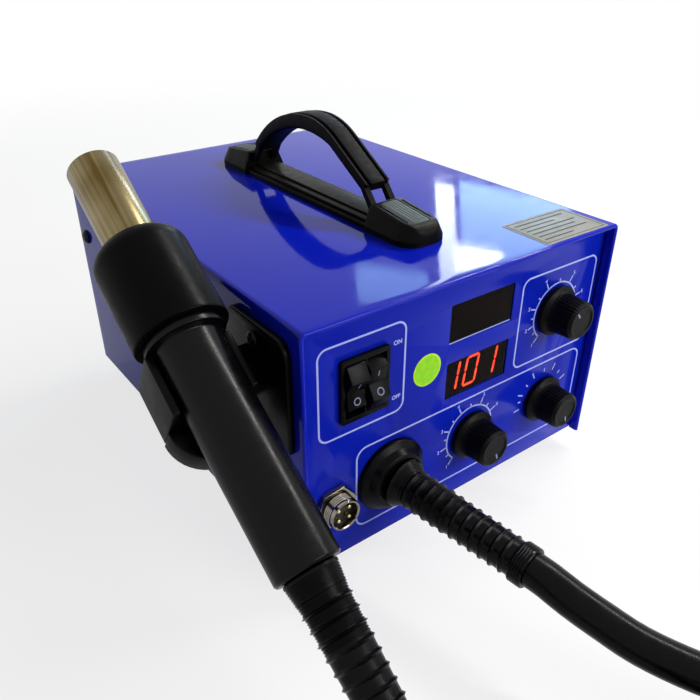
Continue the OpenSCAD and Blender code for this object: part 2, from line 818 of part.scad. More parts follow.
// A moulded trough that the handle lies in, on a plate screwed to the left wall
module gun_cradle() {
    color("#1c1c1e") difference() {
        union() {
            // Side walls and bottom of the trough
            on_cradle() translate([-cradle_half_w, -cradle_depth, cradle_front])
                cube([2 * cradle_half_w, cradle_depth + cradle_top, cradle_l]);
            // Rounded tongue under the handle
            on_cradle() translate([0, -cradle_depth, cradle_front]) rotate([-90, 0, 0])
                linear_extrude(cradle_depth - cradle_in_r) intersection() {
                    circle(cradle_half_w);
                    translate([-cradle_half_w, 0]) square([2 * cradle_half_w, tongue_l]);
                }
            // Web between the trough and the plate
            on_cradle() translate([cradle_half_w - cut, -cradle_depth + 4, cradle_front + 4])
                cube([gun_offset - cradle_half_w + cut - plate_t + 0.5, 16, cradle_l - 8]);
            // Plate on the wall
            translate([-body_w / 2 - plate_t, plate_y, plate_z]) across(0)
                linear_extrude(plate_t) round_rect(plate_w, plate_h, 7);
        }
        on_cradle() translate([0, 0, cradle_front - tongue_l - cut])
            cylinder(r = cradle_in_r, h = cradle_l + tongue_l + 2 * cut);
        on_cradle() translate([-cradle_in_r, 0, cradle_front - cut])
            cube([2 * cradle_in_r, cradle_top + cut, cradle_l + 2 * cut]);
        // Core-out under the trough, open at the rear
        on_cradle() translate([-cradle_half_w + cradle_wall, -cradle_depth + cradle_floor_t, cradle_front + cradle_floor_t])
            cube([2 * (cradle_half_w - cradle_wall), cradle_depth - cradle_in_r - 2 * cradle_floor_t, cradle_l]);
        for (p = cradle_screw_places) translate([-body_w / 2 - plate_t - cut, p[0], p[1]]) rotate([0, 90, 0])
            cylinder(d = screw_d + 2 * hole_gap, h = plate_t + 2 * cut);
    }
}

// Middles of the two rocker slots
function rocker_mid(side) = switch_mid + side * (rocker_slot_w + divider_t) / 2;

module rocker_frame(side) {
    translate([rocker_mid(side), front_y, body_z0 + switch_z]) children();
}

module switch_body() {
    color("#141414") difference() {
        union() {
            translate([switch_mid, 0, body_z0 + switch_z]) facing_front(front_y)
                linear_extrude(bezel_out) round_rect(switch_w, switch_h, 1.2);
            translate([switch_mid, 0, body_z0 + switch_z]) facing_front(front_y + switch_body_d)
                linear_extrude(switch_body_d + 0.2) square([switch_w - 2.4, switch_h - 2.8], center = true);
        }
        for (side = [-1, 1]) rocker_frame(side) {
            translate([-rocker_slot_w / 2, -bezel_out - cut, -rocker_slot_h / 2])
                cube([rocker_slot_w, rocker_well + bezel_out + cut, rocker_slot_h]);
            rotate([0, 90, 0]) cylinder(r = pivot_pin_r + run_gap, h = rocker_slot_w + 2 * pivot_pin_l, center = true);
        }
    }
}

// A rocker at mid travel, with a blunt peak at each end and a shallow valley between them
module rocker_form() {
    difference() {
        union() {
            across(0) linear_extrude(rocker_w, center = true) intersection() {
                circle(rocker_r, $fn = 96);
                polygon([
                    [rocker_back, -2 * rocker_r], [0, -rocker_r], [-rocker_peak, -rocker_peak_up],
                    [-rocker_valley, 0], [-rocker_peak, rocker_peak_up], [0, rocker_r],
                    [rocker_back, 2 * rocker_r]
                ]);
            }
            rotate([0, 90, 0]) cylinder(r = pivot_pin_r, h = rocker_slot_w + 2 * pivot_pin_l - 2 * run_gap, center = true);
        }
        translate([-rocker_w / 2 + 1.5, 2, -rocker_r / 2]) cube([rocker_w - 3, rocker_back, rocker_r]);
    }
}

module rocker_left() {
    color("#18181a") rocker_frame(-1) rotate([rocker_tilt, 0, 0]) rocker_form();
}

module rocker_right() {
    color("#18181a") rocker_frame(1) rotate([-rocker_tilt, 0, 0]) rocker_form();
}

// Tinted panes, a little behind the panel's face
module display_windows() {
    color("#2a0508") for (z = [window_z_upper, window_z_lower])
        translate([window_x, 0, body_z0 + z]) {
            facing_front(module_y) linear_extrude(window_t)
                square([window_w - 2 * gap, window_h - 2 * gap], center = true);
        }
}

// Three-digit display modules on the board behind the windows
module display_modules() {
    color("#202020") for (z = [window_z_upper, window_z_lower])
        translate([window_x, 0, body_z0 + z]) facing_front(display_board_y)
            linear_extrude(module_t) square([window_w - 2.4, window_h - 0.8], center = true);
}

module display_board() {
    board_half = window_w / 2 + 5;
    z_low = body_z0 + window_z_lower - window_h / 2 - 5;
    z_high = body_z0 + window_z_upper + window_h / 2 + 5;
    z_mid = (z_low + z_high) / 2;
    post_d = 5;
    color("darkgreen") difference() {
        union() {
            translate([window_x, 0, z_mid]) facing_front(display_board_y + display_board_t)
                linear_extrude(display_board_t) square([2 * board_half, z_high - z_low], center = true);
            for (x = [-1, 1]) translate([window_x + x * (board_half - 2.6), 0, z_mid])
                facing_front(display_board_y) cylinder(d = post_d, h = display_board_y - front_y - sheet_t);
        }
        for (x = [-1, 1]) translate([window_x + x * (board_half - 2.6), 0, z_mid])
            facing_front(display_board_y + display_board_t + cut)
                cylinder(d = 2, h = display_board_t + module_t);
    }
}

module at_knob(i) {
    translate([knob_places[i][1], 0, body_z0 + knob_places[i][2]]) facing_front(front_y) children();
}

// Potentiometers: a can and a threaded bushing
module control_pots() {
    color("#8c8f94") for (i = [0:2]) at_knob(i) difference() {
        union() {
            translate([0, 0, -sheet_t - pot_t]) cylinder(d = pot_d, h = pot_t);
            translate([0, 0, -sheet_t - 0.2]) cylinder(d = bushing_d, h = sheet_t + 0.2 + bushing_out);
            translate([0, -pot_d / 2 - 2.5, -sheet_t - 5]) cube([13, 8, 2], center = true);
        }
        translate([0, 0, -sheet_t - pot_t + 1.5])
            cylinder(d = shaft_d + 2 * run_gap, h = sheet_t + pot_t + bushing_out);
    }
}

module control_nuts() {
    color("silver") for (i = [0:2]) at_knob(i) hex_nut(nut_af, bushing_d + 2 * hole_gap, nut_t);
}

// A shaft with a flat for the knob
module control_shaft() {
    flat = 0.8;
    difference() {
        translate([0, 0, -sheet_t - pot_t + 1.8]) cylinder(d = shaft_d, h = sheet_t + pot_t - 1.8 + shaft_out);
        translate([-shaft_d, shaft_d / 2 - flat, bushing_out + 0.6]) cube([2 * shaft_d, shaft_d, shaft_out]);
    }
}

// A knob: sloping skirt, fluted grip with a bevelled nose, and a pointer slot
module knob_form() {
    skirt_h = 3.2;
    skirt_rim_h = skirt_h - 0.5;
    bevel = 1.2;
    recess_d = 15;
    recess_h = bushing_out + 0.6 - knob_clear;
    translate([0, 0, knob_clear]) difference() {
        union() {
            rotate_extrude() polygon([
                [0, 0], [skirt_d / 2, 0], [skirt_d / 2, skirt_rim_h - 0.8], [skirt_d / 2 - 0.8, skirt_rim_h],
                [knob_d / 2, skirt_h], [knob_d / 2 - 0.4, knob_h - bevel], [knob_d / 2 - bevel, knob_h],
                [knob_d / 2 - 2.6, knob_h], [knob_d / 2 - 3, knob_h - 0.5], [0, knob_h - 0.5]
            ]);
        }
        for (a = [0:flute_count - 1]) rotate([0, 0, a * 360 / flute_count + 10])
            translate([knob_d / 2 + 0.25, 0, skirt_h]) cylinder(d = flute_d, h = knob_h);
        translate([0, 0, -cut]) cylinder(d = recess_d, h = recess_h + cut);
        translate([0, 0, -cut]) cylinder(d = shaft_d + 2 * run_gap, h = shaft_out - knob_clear + run_gap + cut);
        translate([-0.5, knob_d / 2 - 7, knob_h - 0.9]) cube([1, 7.5, 2]);
    }
}

module shaft_heater() { color("silver") at_knob(0) control_shaft(); }
module shaft_air() { color("silver") at_knob(1) control_shaft(); }
module shaft_iron() { color("silver") at_knob(2) control_shaft(); }
module knob_heater() { color("#111112") at_knob(0) knob_form(); }
module knob_air() { color("#111112") at_knob(1) knob_form(); }
module knob_iron() { color("#111112") at_knob(2) knob_form(); }

module at_socket() {
    translate([socket_mid, 0, body_z0 + socket_z]) facing_front(front_y) children();
}

// Chromed shell of the iron socket, with its rear flange behind the panel
module socket_shell() {
    flange = 19;
    color("#d8d8d6") at_socket() difference() {
        union() {
            rotate_extrude() polygon([
                [0, -socket_back], [shell_d / 2 - 2, -socket_back], [shell_d / 2 - 2, -sheet_t - 2],
                [flange / 2, -sheet_t - 2], [flange / 2, -sheet_t], [shell_neck_r, -sheet_t],
                [shell_neck_r, socket_nut_t + 0.2], [shell_d / 2, socket_nut_t + 0.2],
                [shell_d / 2, shell_out - 0.6], [shell_d / 2 - 0.6, shell_out], [0, shell_out]
            ]);
        }
        translate([0, 0, -socket_back - cut]) cylinder(d = shell_bore, h = socket_back + shell_out + 2 * cut);
    }
}

module socket_nut() {
    color("silver") at_socket() hex_nut(socket_nut_af, 2 * (shell_neck_r + run_gap), socket_nut_t);
}

pin_angles = [45, 135, 225, 315];

module socket_insert() {
    key_w = 2;
    color("#2b2b2c") at_socket() difference() {
        translate([0, 0, -socket_back]) cylinder(d = shell_bore - 2 * run_gap, h = socket_back + shell_out - insert_recess);
        for (a = pin_angles) rotate([0, 0, a]) translate([pin_ring_r, 0, -socket_back - cut])
            cylinder(d = pin_d + 2 * run_gap, h = socket_back + shell_out + 2 * cut);
        translate([-key_w / 2, shell_bore / 2 - 1.6, 0]) cube([key_w, 3, shell_out]);
    }
}

module socket_pins() {
    color("gold") at_socket() for (a = pin_angles) rotate([0, 0, a]) translate([pin_ring_r, 0, -socket_back - 3])
        rotate_extrude() polygon([
            [0, 0], [pin_d / 2, 0], [pin_d / 2, socket_back + shell_out + 1.2],
            [pin_d / 2 - 0.4, socket_back + shell_out + 1.8], [0, socket_back + shell_out + 1.8]
        ]);
}

module at_gland() {
    translate([gland_mid, 0, body_z0 + gland_z]) facing_front(front_y) children();
}

// Round hose gland: a domed flange in front and a threaded spigot through the panel
module hose_gland() {
    color("#1a1a1b") at_gland() difference() {
        rotate_extrude() polygon([
            [0, -sheet_t - gland_spigot_l], [gland_spigot_d / 2, -sheet_t - gland_spigot_l],
            [gland_spigot_d / 2, 0], [gland_d / 2, 0], [gland_d / 2, 1.4], [gland_d / 2 - 0.8, 2.4],
            [gland_d / 2 - 3, gland_t], [sleeve_root_d / 2 + 2, gland_out - 0.6],
            [sleeve_root_d / 2 + 1, gland_out], [0, gland_out]
        ]);
        translate([0, 0, -sheet_t - gland_spigot_l - cut])
            cylinder(d = gland_bore, h = gland_spigot_l + sheet_t + gland_out + 2 * cut);
    }
}

module gland_nut() {
    color("#2a2a2b") at_gland() translate([0, 0, -sheet_t - 4])
        hex_nut(30, gland_spigot_d + 2 * hole_gap, 4);
}

// A tapering ringed sleeve from z 0 to l, with a collar at its end
module ringed_sleeve(d0, d1, bore, l, collar_d, collar_l) {
    ring_count = floor((l - collar_l - ring_l) / ring_pitch);
    difference() {
        union() {
            rotate_extrude() polygon([
                [0, 0], [d0 / 2 - ring_out, 0], [d1 / 2 - ring_out, l - collar_l],
                [d1 / 2 - ring_out, l], [0, l]
            ]);
            for (i = [0:ring_count - 1]) {
                z = (i + 0.5) * ring_pitch;
                r = (d0 + (d1 - d0) * z / l) / 2;
                rotate_extrude() polygon([
                    [0, z], [r - ring_out, z], [r, z + ring_l - 0.4], [r - 0.3, z + ring_l], [0, z + ring_l]
                ]);
            }
            translate([0, 0, l - collar_l]) rotate_extrude() polygon([
                [0, 0], [collar_d / 2 - 0.5, 0], [collar_d / 2, 0.6], [collar_d / 2, collar_l - 1],
                [collar_d / 2 - 0.8, collar_l], [0, collar_l]
            ]);
        }
        translate([0, 0, -cut]) cylinder(d = bore, h = l + 2 * cut);
    }
}

// Puts what is built up +Z on the front sleeve's axis, with z 0 on the panel
module on_sleeve() {
    translate(gland_face) rotate([0, 0, sleeve_yaw]) rotate([90 + sleeve_drop, 0, 0]) children();
}

module hose_sleeve() {
    total = norm(sleeve_dir);
    start = total - sleeve_l - gap;
    face = gland_out + gap;
    color("#121213") difference() {
        union() {
            difference() {
                on_sleeve() {
                    translate([0, 0, start]) ringed_sleeve(sleeve_d + 1.6, sleeve_d, hose_bore, sleeve_l,
                        sleeve_d + 1, 6.5);
                    rotate_extrude() polygon([
                        [0, face - 3], [sleeve_root_d / 2, face - 3], [sleeve_root_d / 2, face + 3],
                        [sleeve_d / 2 - 0.4, face + sleeve_root_l], [0, face + sleeve_root_l]
                    ]);
                }
                at_gland() translate([0, 0, -gland_out]) cylinder(d = 3 * gland_d, h = gland_out + face);
            }
            at_gland() translate([0, 0, face - sleeve_plug_l])
                cylinder(d = gland_bore - 2 * gap, h = sleeve_plug_l + 1.5);
        }
        on_sleeve() translate([0, 0, -gland_d]) cylinder(d = hose_bore, h = total + gland_d + cut);
    }
}

// Sweeps a round section along a hand-chosen route of points
function unit(v) = v / norm(v);
function route_dir(p, i) = i == 0 ? unit(p[1] - p[0])
    : i == len(p) - 1 ? unit(p[i] - p[i - 1]) : unit(p[i + 1] - p[i - 1]);

module route_tube(route, d, sides) {
    n = len(route);
    rings = [for (i = [0:n - 1])
        let (t = route_dir(route, i), side = unit(cross(t, [0, 0, 1])), up = cross(side, t))
        for (k = [0:sides - 1])
            route[i] + d / 2 * (cos(360 * k / sides) * side + sin(360 * k / sides) * up)];
    walls = [for (i = [0:n - 2], k = [0:sides - 1])
        let (a = i * sides + k, b = i * sides + (k + 1) % sides)
        each [[a, b, a + sides], [b, b + sides, a + sides]]];
    caps = [[for (k = [sides - 1:-1:0]) k], [for (k = [0:sides - 1]) (n - 1) * sides + k]];
    polyhedron(points = rings, faces = concat([for (f = walls) [f[2], f[1], f[0]]],
        [for (f = caps) [for (k = [len(f) - 1:-1:0]) f[k]]]));
}

module air_hose() {
    color("#0d0d0e") {
        route_tube(hose_front_route, hose_d, hose_sides);
        route_tube(hose_gun_route, hose_d, hose_sides);
    }
}

module hose_coil() {
    edge = 3;
    color("#0d0d0e") translate([coil_centre[0], coil_centre[1], 0]) rotate_extrude($fn = 96)
        polygon([
            [coil_r - hose_d / 2, edge], [coil_r - hose_d / 2 + edge, 0],
            [coil_r + hose_d / 2 - edge, 0], [coil_r + hose_d / 2, edge],
            [coil_r + hose_d / 2, 2 * hose_d - edge], [coil_r + hose_d / 2 - edge, 2 * hose_d],
            [coil_r - hose_d / 2 + edge, 2 * hose_d], [coil_r - hose_d / 2, 2 * hose_d - edge]
        ]);
}

// Ringed rubber sleeve where the hose enters the gun's handle
module gun_tail_sleeve() {
    plug_l = 12;
    color("#121213") on_gun() translate([0, 0, -grip_l]) mirror([0, 0, 1]) {
        ringed_sleeve(tail_d, tail_end_d, hose_bore, tail_l, tail_end_d + 1, 5);
        translate([0, 0, -plug_l]) ring(grip_d - 2 * grip_wall - 2 * grip_step - 0.2, hose_bore, plug_l + 0.5);
    }
}

// Moulded handle tube, a little thicker towards the collar, with its root ring
module gun_handle() {
    bottom_r = grip_d / 2 - grip_step;
    color("#101012") on_gun() difference() {
        rotate_extrude() polygon([
            [0, -grip_l], [bottom_r - 1, -grip_l], [bottom_r, -grip_l + 1], [grip_d / 2, -root_l - 8],
            [grip_d / 2, -root_l], [root_r, -root_l], [root_r, 0], [grip_d / 2 - 1, 0],
            [grip_d / 2 - 1, 12], [0, 12]
        ]);
        translate([0, 0, -grip_l - cut]) cylinder(r = bottom_r - grip_wall, h = grip_l + 12 + 2 * cut);
    }
}

// Heat-resistant collar with its round shoulder
module gun_collar() {
    r = collar_d / 2;
    mouth_r = pipe_d / 2 + 2.2;
    side = r - mouth_r;
    steps = 8;
    color("#131315") on_gun() difference() {
        rotate_extrude() polygon(concat(
            [[0, 0], [r - 0.8, 0], [r, 0.8], [r, collar_l - shoulder_l]],
            [for (i = [1:steps]) let (a = 90 * i / steps)
                [r - side + side * cos(a), collar_l - shoulder_l + shoulder_l * sin(a)]],
            [[0, collar_l]]
        ));
        translate([0, 0, -cut]) cylinder(r = grip_d / 2 - 1 + 0.1, h = 12 + cut + 0.1);
        translate([0, 0, 12]) cylinder(d = pipe_d + 6, h = collar_l - 12 - 6);
        translate([0, 0, 12]) cylinder(d = collar_bore, h = collar_l);
    }
}

// Stainless hot air pipe: rolled tip, wider swaged root, and a flange inside the collar
module gun_pipe() {
    start = collar_l - 6 - pipe_in / 2;
    tip = collar_l + pipe_out;
    bead = 0.35;
    seat = collar_l + 0.5;
    bore_r = pipe_d / 2 - pipe_wall;
    color("#b9ad94") on_gun() difference() {
        rotate_extrude() polygon([
            [0, start], [pipe_d / 2 + 2.6, start], [pipe_d / 2 + 2.6, start + 1.5],
            [pipe_d / 2 + pipe_swage, start + 1.5], [pipe_d / 2 + pipe_swage, seat], [pipe_d / 2, seat],
            [pipe_d / 2, tip - bead], [pipe_d / 2 - bead, tip], [0, tip]
        ]);
        translate([0, 0, start - cut]) cylinder(r = bore_r + pipe_swage, h = seat - pipe_wall - start + cut);
        translate([0, 0, start - cut]) cylinder(r = bore_r, h = tip - start + 2 * cut);
    }
}

// Mica liner between the pipe and the heating coil
module heater_liner() {
    color("#8a6f4a") on_gun() translate([0, 0, heater_start])
        ring(liner_d, liner_d - 2 * liner_wall, heater_l);
}

// Ceramic former: a star of ribs round a tube, on a base disc
module heater_former() {
    rib_t = 1.6;
    base_t = 4;
    color("#e7e2d6") on_gun() difference() {
        union() {
            translate([0, 0, heater_start]) cylinder(r = former_r, h = heater_l - 1);
            for (a = [0, 60, 120]) rotate([0, 0, a])
                translate([-coil_loop_r + coil_wire, -rib_t / 2, heater_start])
                    cube([2 * (coil_loop_r - coil_wire), rib_t, heater_l - 2]);
            translate([0, 0, heater_start - base_t]) cylinder(r = grip_d / 2 - grip_wall - grip_step - 0.3, h = base_t);
        }
        translate([0, 0, heater_start - base_t - cut]) cylinder(r = 1.6, h = heater_l + base_t + 2 * cut);
        for (a = [30:60:330]) rotate([0, 0, a]) translate([former_r + 2.6, 0, heater_start - base_t - cut])
            cylinder(d = 2.6, h = base_t + 2 * cut);
    }
}

// Heating coil: a wire wound round the former's ribs
module heater_coil() {
    steps = 12;
    turns_l = heater_l - 10;
    helix = [for (i = [0:coil_turns * steps]) let (a = 360 * i / steps)
        [coil_loop_r * cos(a), coil_loop_r * sin(a), heater_start + 4 + turns_l * i / (coil_turns * steps)]];
    color("#6f6a64") on_gun() route_tube(helix, coil_wire, 5);
}

// Mains inlet with its fuse drawer's slot
module mains_inlet() {
    wing_r = 6;
    color("#161617") translate([inlet_mid, rear_y, body_z0 + inlet_z]) difference() {
        union() {
            translate([-inlet_flange_w / 2, 0, -inlet_flange_h / 2])
                cube([inlet_flange_w, inlet_flange_t, inlet_flange_h]);
            rotate([-90, 0, 0]) linear_extrude(inlet_flange_t) {
                square([inlet_pitch, 2 * wing_r], center = true);
                for (s = [-1, 1]) translate([s * inlet_pitch / 2, 0]) circle(wing_r);
            }
            translate([-inlet_body_w / 2, -inlet_body_d, -inlet_body_h / 2])
                cube([inlet_body_w, inlet_body_d + cut, inlet_body_h]);
        }
        // Mouth for the connector, with its two clipped lower corners
        translate([0, -inlet_mouth_d + inlet_flange_t, inlet_mouth_up]) rotate([-90, 0, 0])
            linear_extrude(inlet_mouth_d + cut) polygon([
                [-inlet_mouth_w / 2, -inlet_mouth_h / 2], [inlet_mouth_w / 2, -inlet_mouth_h / 2],
                [inlet_mouth_w / 2, inlet_mouth_h / 2 - 5], [inlet_mouth_w / 2 - 5, inlet_mouth_h / 2],
                [-inlet_mouth_w / 2 + 5, inlet_mouth_h / 2], [-inlet_mouth_w / 2, inlet_mouth_h / 2 - 5]
            ]);
        // Slot of the fuse drawer
        translate([-drawer_w / 2 - gap, -drawer_d + inlet_flange_t - gap, -drawer_down - drawer_h / 2 - gap])
            cube([drawer_w + 2 * gap, drawer_d + gap + cut, drawer_h + 2 * gap]);
        for (s = [-1, 1]) translate([s * inlet_pitch / 2, -cut, 0]) rotate([-90, 0, 0])
            cylinder(d = screw_d + 2 * hole_gap, h = inlet_flange_t + 2 * cut);
        for (b = blade_places) translate([b[0] - blade_t / 2, -inlet_body_d - cut, b[1] - blade_w / 2])
            cube([blade_t, inlet_body_d, blade_w]);
    }
}

blade_places = [[-7, inlet_mouth_up - 1], [7, inlet_mouth_up - 1], [0, inlet_mouth_up + 3]];

module inlet_blades() {
    blade_out = 9;
    color("silver") translate([inlet_mid, rear_y, body_z0 + inlet_z])
        for (b = blade_places) translate([b[0] - blade_t / 2, -inlet_body_d - 6, b[1] - blade_w / 2])
            cube([blade_t, inlet_body_d + 6 - inlet_mouth_d + inlet_flange_t + blade_out, blade_w]);
}

// Drawer that holds the fuse, open at the top, with a finger lip
module fuse_drawer() {
    color("#1d1d1f") translate([inlet_mid, rear_y, body_z0 + inlet_z - drawer_down]) difference() {
        union() {
            translate([-drawer_w / 2, -drawer_d + inlet_flange_t, -drawer_h / 2])
                cube([drawer_w, drawer_d, drawer_h]);
            translate([-drawer_w / 2 - 1, inlet_flange_t + gap, -drawer_h / 2 - 1])
                cube([drawer_w + 2, 1.6, drawer_h + 2]);
            translate([-drawer_w / 2, inlet_flange_t - cut, -drawer_h / 2])
                cube([drawer_w, cut + gap + 0.2, drawer_h]);
        }
        translate([-fuse_l / 2 - 1.2, -fuse_d * 1.5 - 2, -drawer_h / 2 + 1.6])
            cube([fuse_l + 2.4, fuse_d + 1, drawer_h]);
    }
}

module fuse() {
    cap_len = 4;
    color("#cfd3d4") translate([
        inlet_mid - fuse_l / 2, rear_y - fuse_d - 1.6,
        body_z0 + inlet_z - drawer_down - drawer_h / 2 + 1.6 + fuse_d / 2
    ])
        rotate([0, 90, 0]) {
            cylinder(d = fuse_d - 0.5, h = fuse_l);
            for (z = [0, fuse_l - cap_len]) translate([0, 0, z]) cylinder(d = fuse_d, h = cap_len);
        }
}

tf_z = floor_top + tf_lift;

// Laminated core with two windows
module transformer_core() {
    color("#5b5d60") translate([tf_x, tf_y, tf_z]) difference() {
        translate([-core_w / 2, -core_d / 2, 0]) cube([core_w, core_d, core_h]);
        for (s = [-1, 1]) translate([s * (tf_leg + tf_window_w) / 2, 0, core_h / 2])
            cube([tf_window_w, core_d + 2 * cut, tf_window_h], center = true);
    }
}

// Winding on its bobbin, through both windows
module transformer_winding() {
    w = tf_leg + 2 * tf_window_w - 2 * gap;
    d = core_d + 2 * tf_out;
    h = tf_window_h - 2 * gap;
    color("#c9a227") translate([tf_x, tf_y, tf_z + core_h / 2]) difference() {
        union() {
            translate([0, 0, -h / 2]) linear_extrude(2) round_rect(w, d, 2);
            translate([0, 0, h / 2 - 2]) linear_extrude(2) round_rect(w, d, 2);
            translate([0, 0, -h / 2]) linear_extrude(h) round_rect(w - 3, d - 3, 3);
        }
        cube([tf_leg + 2 * gap, core_d + 2 * gap, h + 2 * cut], center = true);
    }
}

// Steel strap over the core, with two screwed feet
module transformer_bracket() {
    strap_d = core_d * 0.7;
    inner = core_w / 2 + gap;
    top = core_h + tf_lift + gap;
    color("#7d8084") translate([tf_x, tf_y, floor_top]) difference() {
        union() {
            for (s = [-1, 1]) {
                translate([s * (inner + strap_sheet / 2) - strap_sheet / 2, -strap_d / 2, 0])
                    cube([strap_sheet, strap_d, top + strap_sheet]);
                translate([s * (inner + tf_foot / 2) - tf_foot / 2, -strap_d / 2, 0])
                    cube([tf_foot, strap_d, strap_sheet]);
            }
            translate([-inner - strap_sheet, -strap_d / 2, top]) cube([2 * (inner + strap_sheet), strap_d, strap_sheet]);
            translate([-inner, -strap_d / 2, 0]) cube([2 * inner, strap_d, strap_sheet]);
        }
        for (s = [-1, 1]) translate([s * (inner + tf_foot - 4.5), 0, -cut])
            cylinder(d = screw_d + 2 * hole_gap, h = strap_sheet + 2 * cut);
    }
}

// Pump frame: base, rear wall and the two ears for the arm's pin
module pump_frame() {
    ear_t = 3;
    color("#9a9da0") translate([pump_x, pump_y, 0]) difference() {
        union() {
            translate([-pump_w / 2, -pump_l / 2, pump_base_z]) cube([pump_w, pump_l, pump_base_t]);
            translate([-pump_w / 2, pump_l / 2 - pump_base_t, pump_base_z]) cube([pump_w, pump_base_t, pump_wall_h]);
            for (s = [-1, 1]) translate([s * (arm_w / 2 + gap + ear_t / 2) - ear_t / 2, arm_y - 4, pump_base_z])
                cube([ear_t, arm_t + 7, arm_top_z - pump_base_z + 6]);
        }
        translate([-arm_w, arm_y + arm_t / 2, arm_top_z]) rotate([0, 90, 0])
            cylinder(r = arm_pin_r + run_gap, h = 2 * arm_w);
        for (p = pump_foot_places) translate([p[0], p[1], pump_base_z - cut])
            cylinder(d = 5 + 2 * gap, h = pump_base_t + 2 * cut);
    }
}

pump_foot_places = [for (sx = [-1, 1], sy = [-1, 1]) [sx * (pump_w / 2 - 7), sy * (pump_l / 2 - 9)]];

module pump_feet() {
    color("#222224") translate([pump_x, pump_y, 0]) for (p = pump_foot_places) translate([p[0], p[1], floor_top])
        rotate_extrude() polygon([
            [0, 0], [6, 0], [6, 2], [4.4, pump_lift / 2], [6, pump_lift - 1.5], [6, pump_lift],
            [2.5, pump_lift], [2.5, pump_lift + pump_base_t], [4.2, pump_lift + pump_base_t],
            [3, pump_lift + pump_base_t + 2.4], [0, pump_lift + pump_base_t + 2.4]
        ]);
}

// Electromagnet's laminated E, its poles facing the arm
module pump_magnet() {
    color("#55585c") translate([pump_x, pump_y + magnet_y, pump_deck]) difference() {
        translate([-magnet_w / 2, 0, 0]) cube([magnet_w, magnet_l, magnet_h]);
        for (s = [-1, 1]) translate([-magnet_w / 2 - cut, -cut, magnet_h / 2 + s * magnet_slot_up - magnet_slot_h / 2])
            cube([magnet_w + 2 * cut, magnet_l - magnet_leg + cut, magnet_slot_h]);
    }
}

module pump_winding() {
    leg_h = 2 * magnet_slot_up - magnet_slot_h;
    winding_h = 2 * magnet_slot_up + magnet_slot_h;
    color("#b5651d") translate([pump_x, pump_y + magnet_y + winding_start, pump_deck + magnet_h / 2]) difference() {
        translate([0, winding_l / 2, 0]) cube([magnet_w + 10, winding_l, winding_h - 2 * gap], center = true);
        translate([0, winding_l / 2, 0]) cube([magnet_w + 2 * gap, winding_l + 2 * cut, leg_h + 2 * gap], center = true);
    }
}

// Swinging arm on its pin, with the drive magnet in front of the poles
module pump_arm() {
    color("#c3c6c8") translate([pump_x, pump_y, 0]) {
        translate([-arm_w / 2, arm_y, arm_top_z - arm_l]) cube([arm_w, arm_t - 1, arm_l - 2]);
        translate([0, arm_y + arm_t / 2, arm_top_z]) rotate([0, 90, 0]) {
            cylinder(r = arm_pin_r + 3, h = arm_w, center = true);
            cylinder(r = arm_pin_r, h = arm_w + 8, center = true);
        }
        translate([-arm_w / 2 + 1, arm_y - 1, arm_top_z - arm_l]) cube([arm_w - 2, arm_t + 0.6, arm_magnet_l]);
    }
}

// Valve chamber on the base plate, with its outlet spout
module pump_chamber() {
    spout_l = 9;
    color("#d9d9d4") translate([pump_x, pump_y + chamber_y, pump_deck]) {
        difference() {
            translate([-chamber_w / 2, -chamber_d, 0]) cube([chamber_w, chamber_d, chamber_h]);
            translate([0, cut, chamber_h / 2 + 2]) rotate([90, 0, 0]) cylinder(r = diaphragm_r - 3, h = 12);
        }
        translate([0, -chamber_d + cut, chamber_h / 2]) rotate([90, 0, 0]) cylinder(d = nozzle_d, h = spout_l + cut);
    }
}

// Rubber diaphragm, its boss reaching for the arm
module pump_diaphragm() {
    reach = arm_y - chamber_y - 1 - diaphragm_gap;
    color("#2d2d2f") translate([pump_x, pump_y + chamber_y, pump_deck + chamber_h / 2 + 2]) rotate([-90, 0, 0])
        rotate_extrude() polygon([
            [0, 0], [diaphragm_r, 0], [diaphragm_r, 3], [diaphragm_r - 3, 4], [diaphragm_r - 5, 7],
            [7, reach - 3], [5, reach], [0, reach]
        ]);
}

// A quarter bend of tube in the x-y plane, from +x at [0, -r] to +y
module tube_bend(r, d, bore) {
    rotate_extrude(angle = 90) translate([r, 0]) difference() {
        circle(d = d);
        circle(d = bore);
    }
}

// Silicone tube from the pump's spout to the gland
module air_tube() {
    r = 16;
    z = pump_deck + chamber_h / 2;
    start_y = pump_y + chamber_y - chamber_d;
    start_x = pump_x;
    end_y = front_y + sheet_t + gland_spigot_l + 1;
    end_x = gland_mid;
    lane_y = start_y - 12 - r;
    color("#d7d2c4", 0.9) {
        translate([start_x, start_y - gap, z]) rotate([90, 0, 0]) ring(air_d, air_bore, 12 - gap);
        translate([start_x - r, start_y - 12, z]) rotate([0, 0, -90]) tube_bend(r, air_d, air_bore);
        translate([start_x - r, lane_y, z]) rotate([0, -90, 0]) ring(air_d, air_bore, start_x - end_x - 2 * r);
        translate([end_x + r, lane_y - r, z]) rotate([0, 0, 90]) tube_bend(r, air_d, air_bore);
        translate([end_x, lane_y - r, z]) rotate([90, 0, 0]) ring(air_d, air_bore, lane_y - r - end_y);
    }
}

board_holes = [for (sx = [-1, 1], sy = [-1, 1]) [board_x + sx * (board_w / 2 - 5), board_y + sy * (board_l / 2 - 5)]];

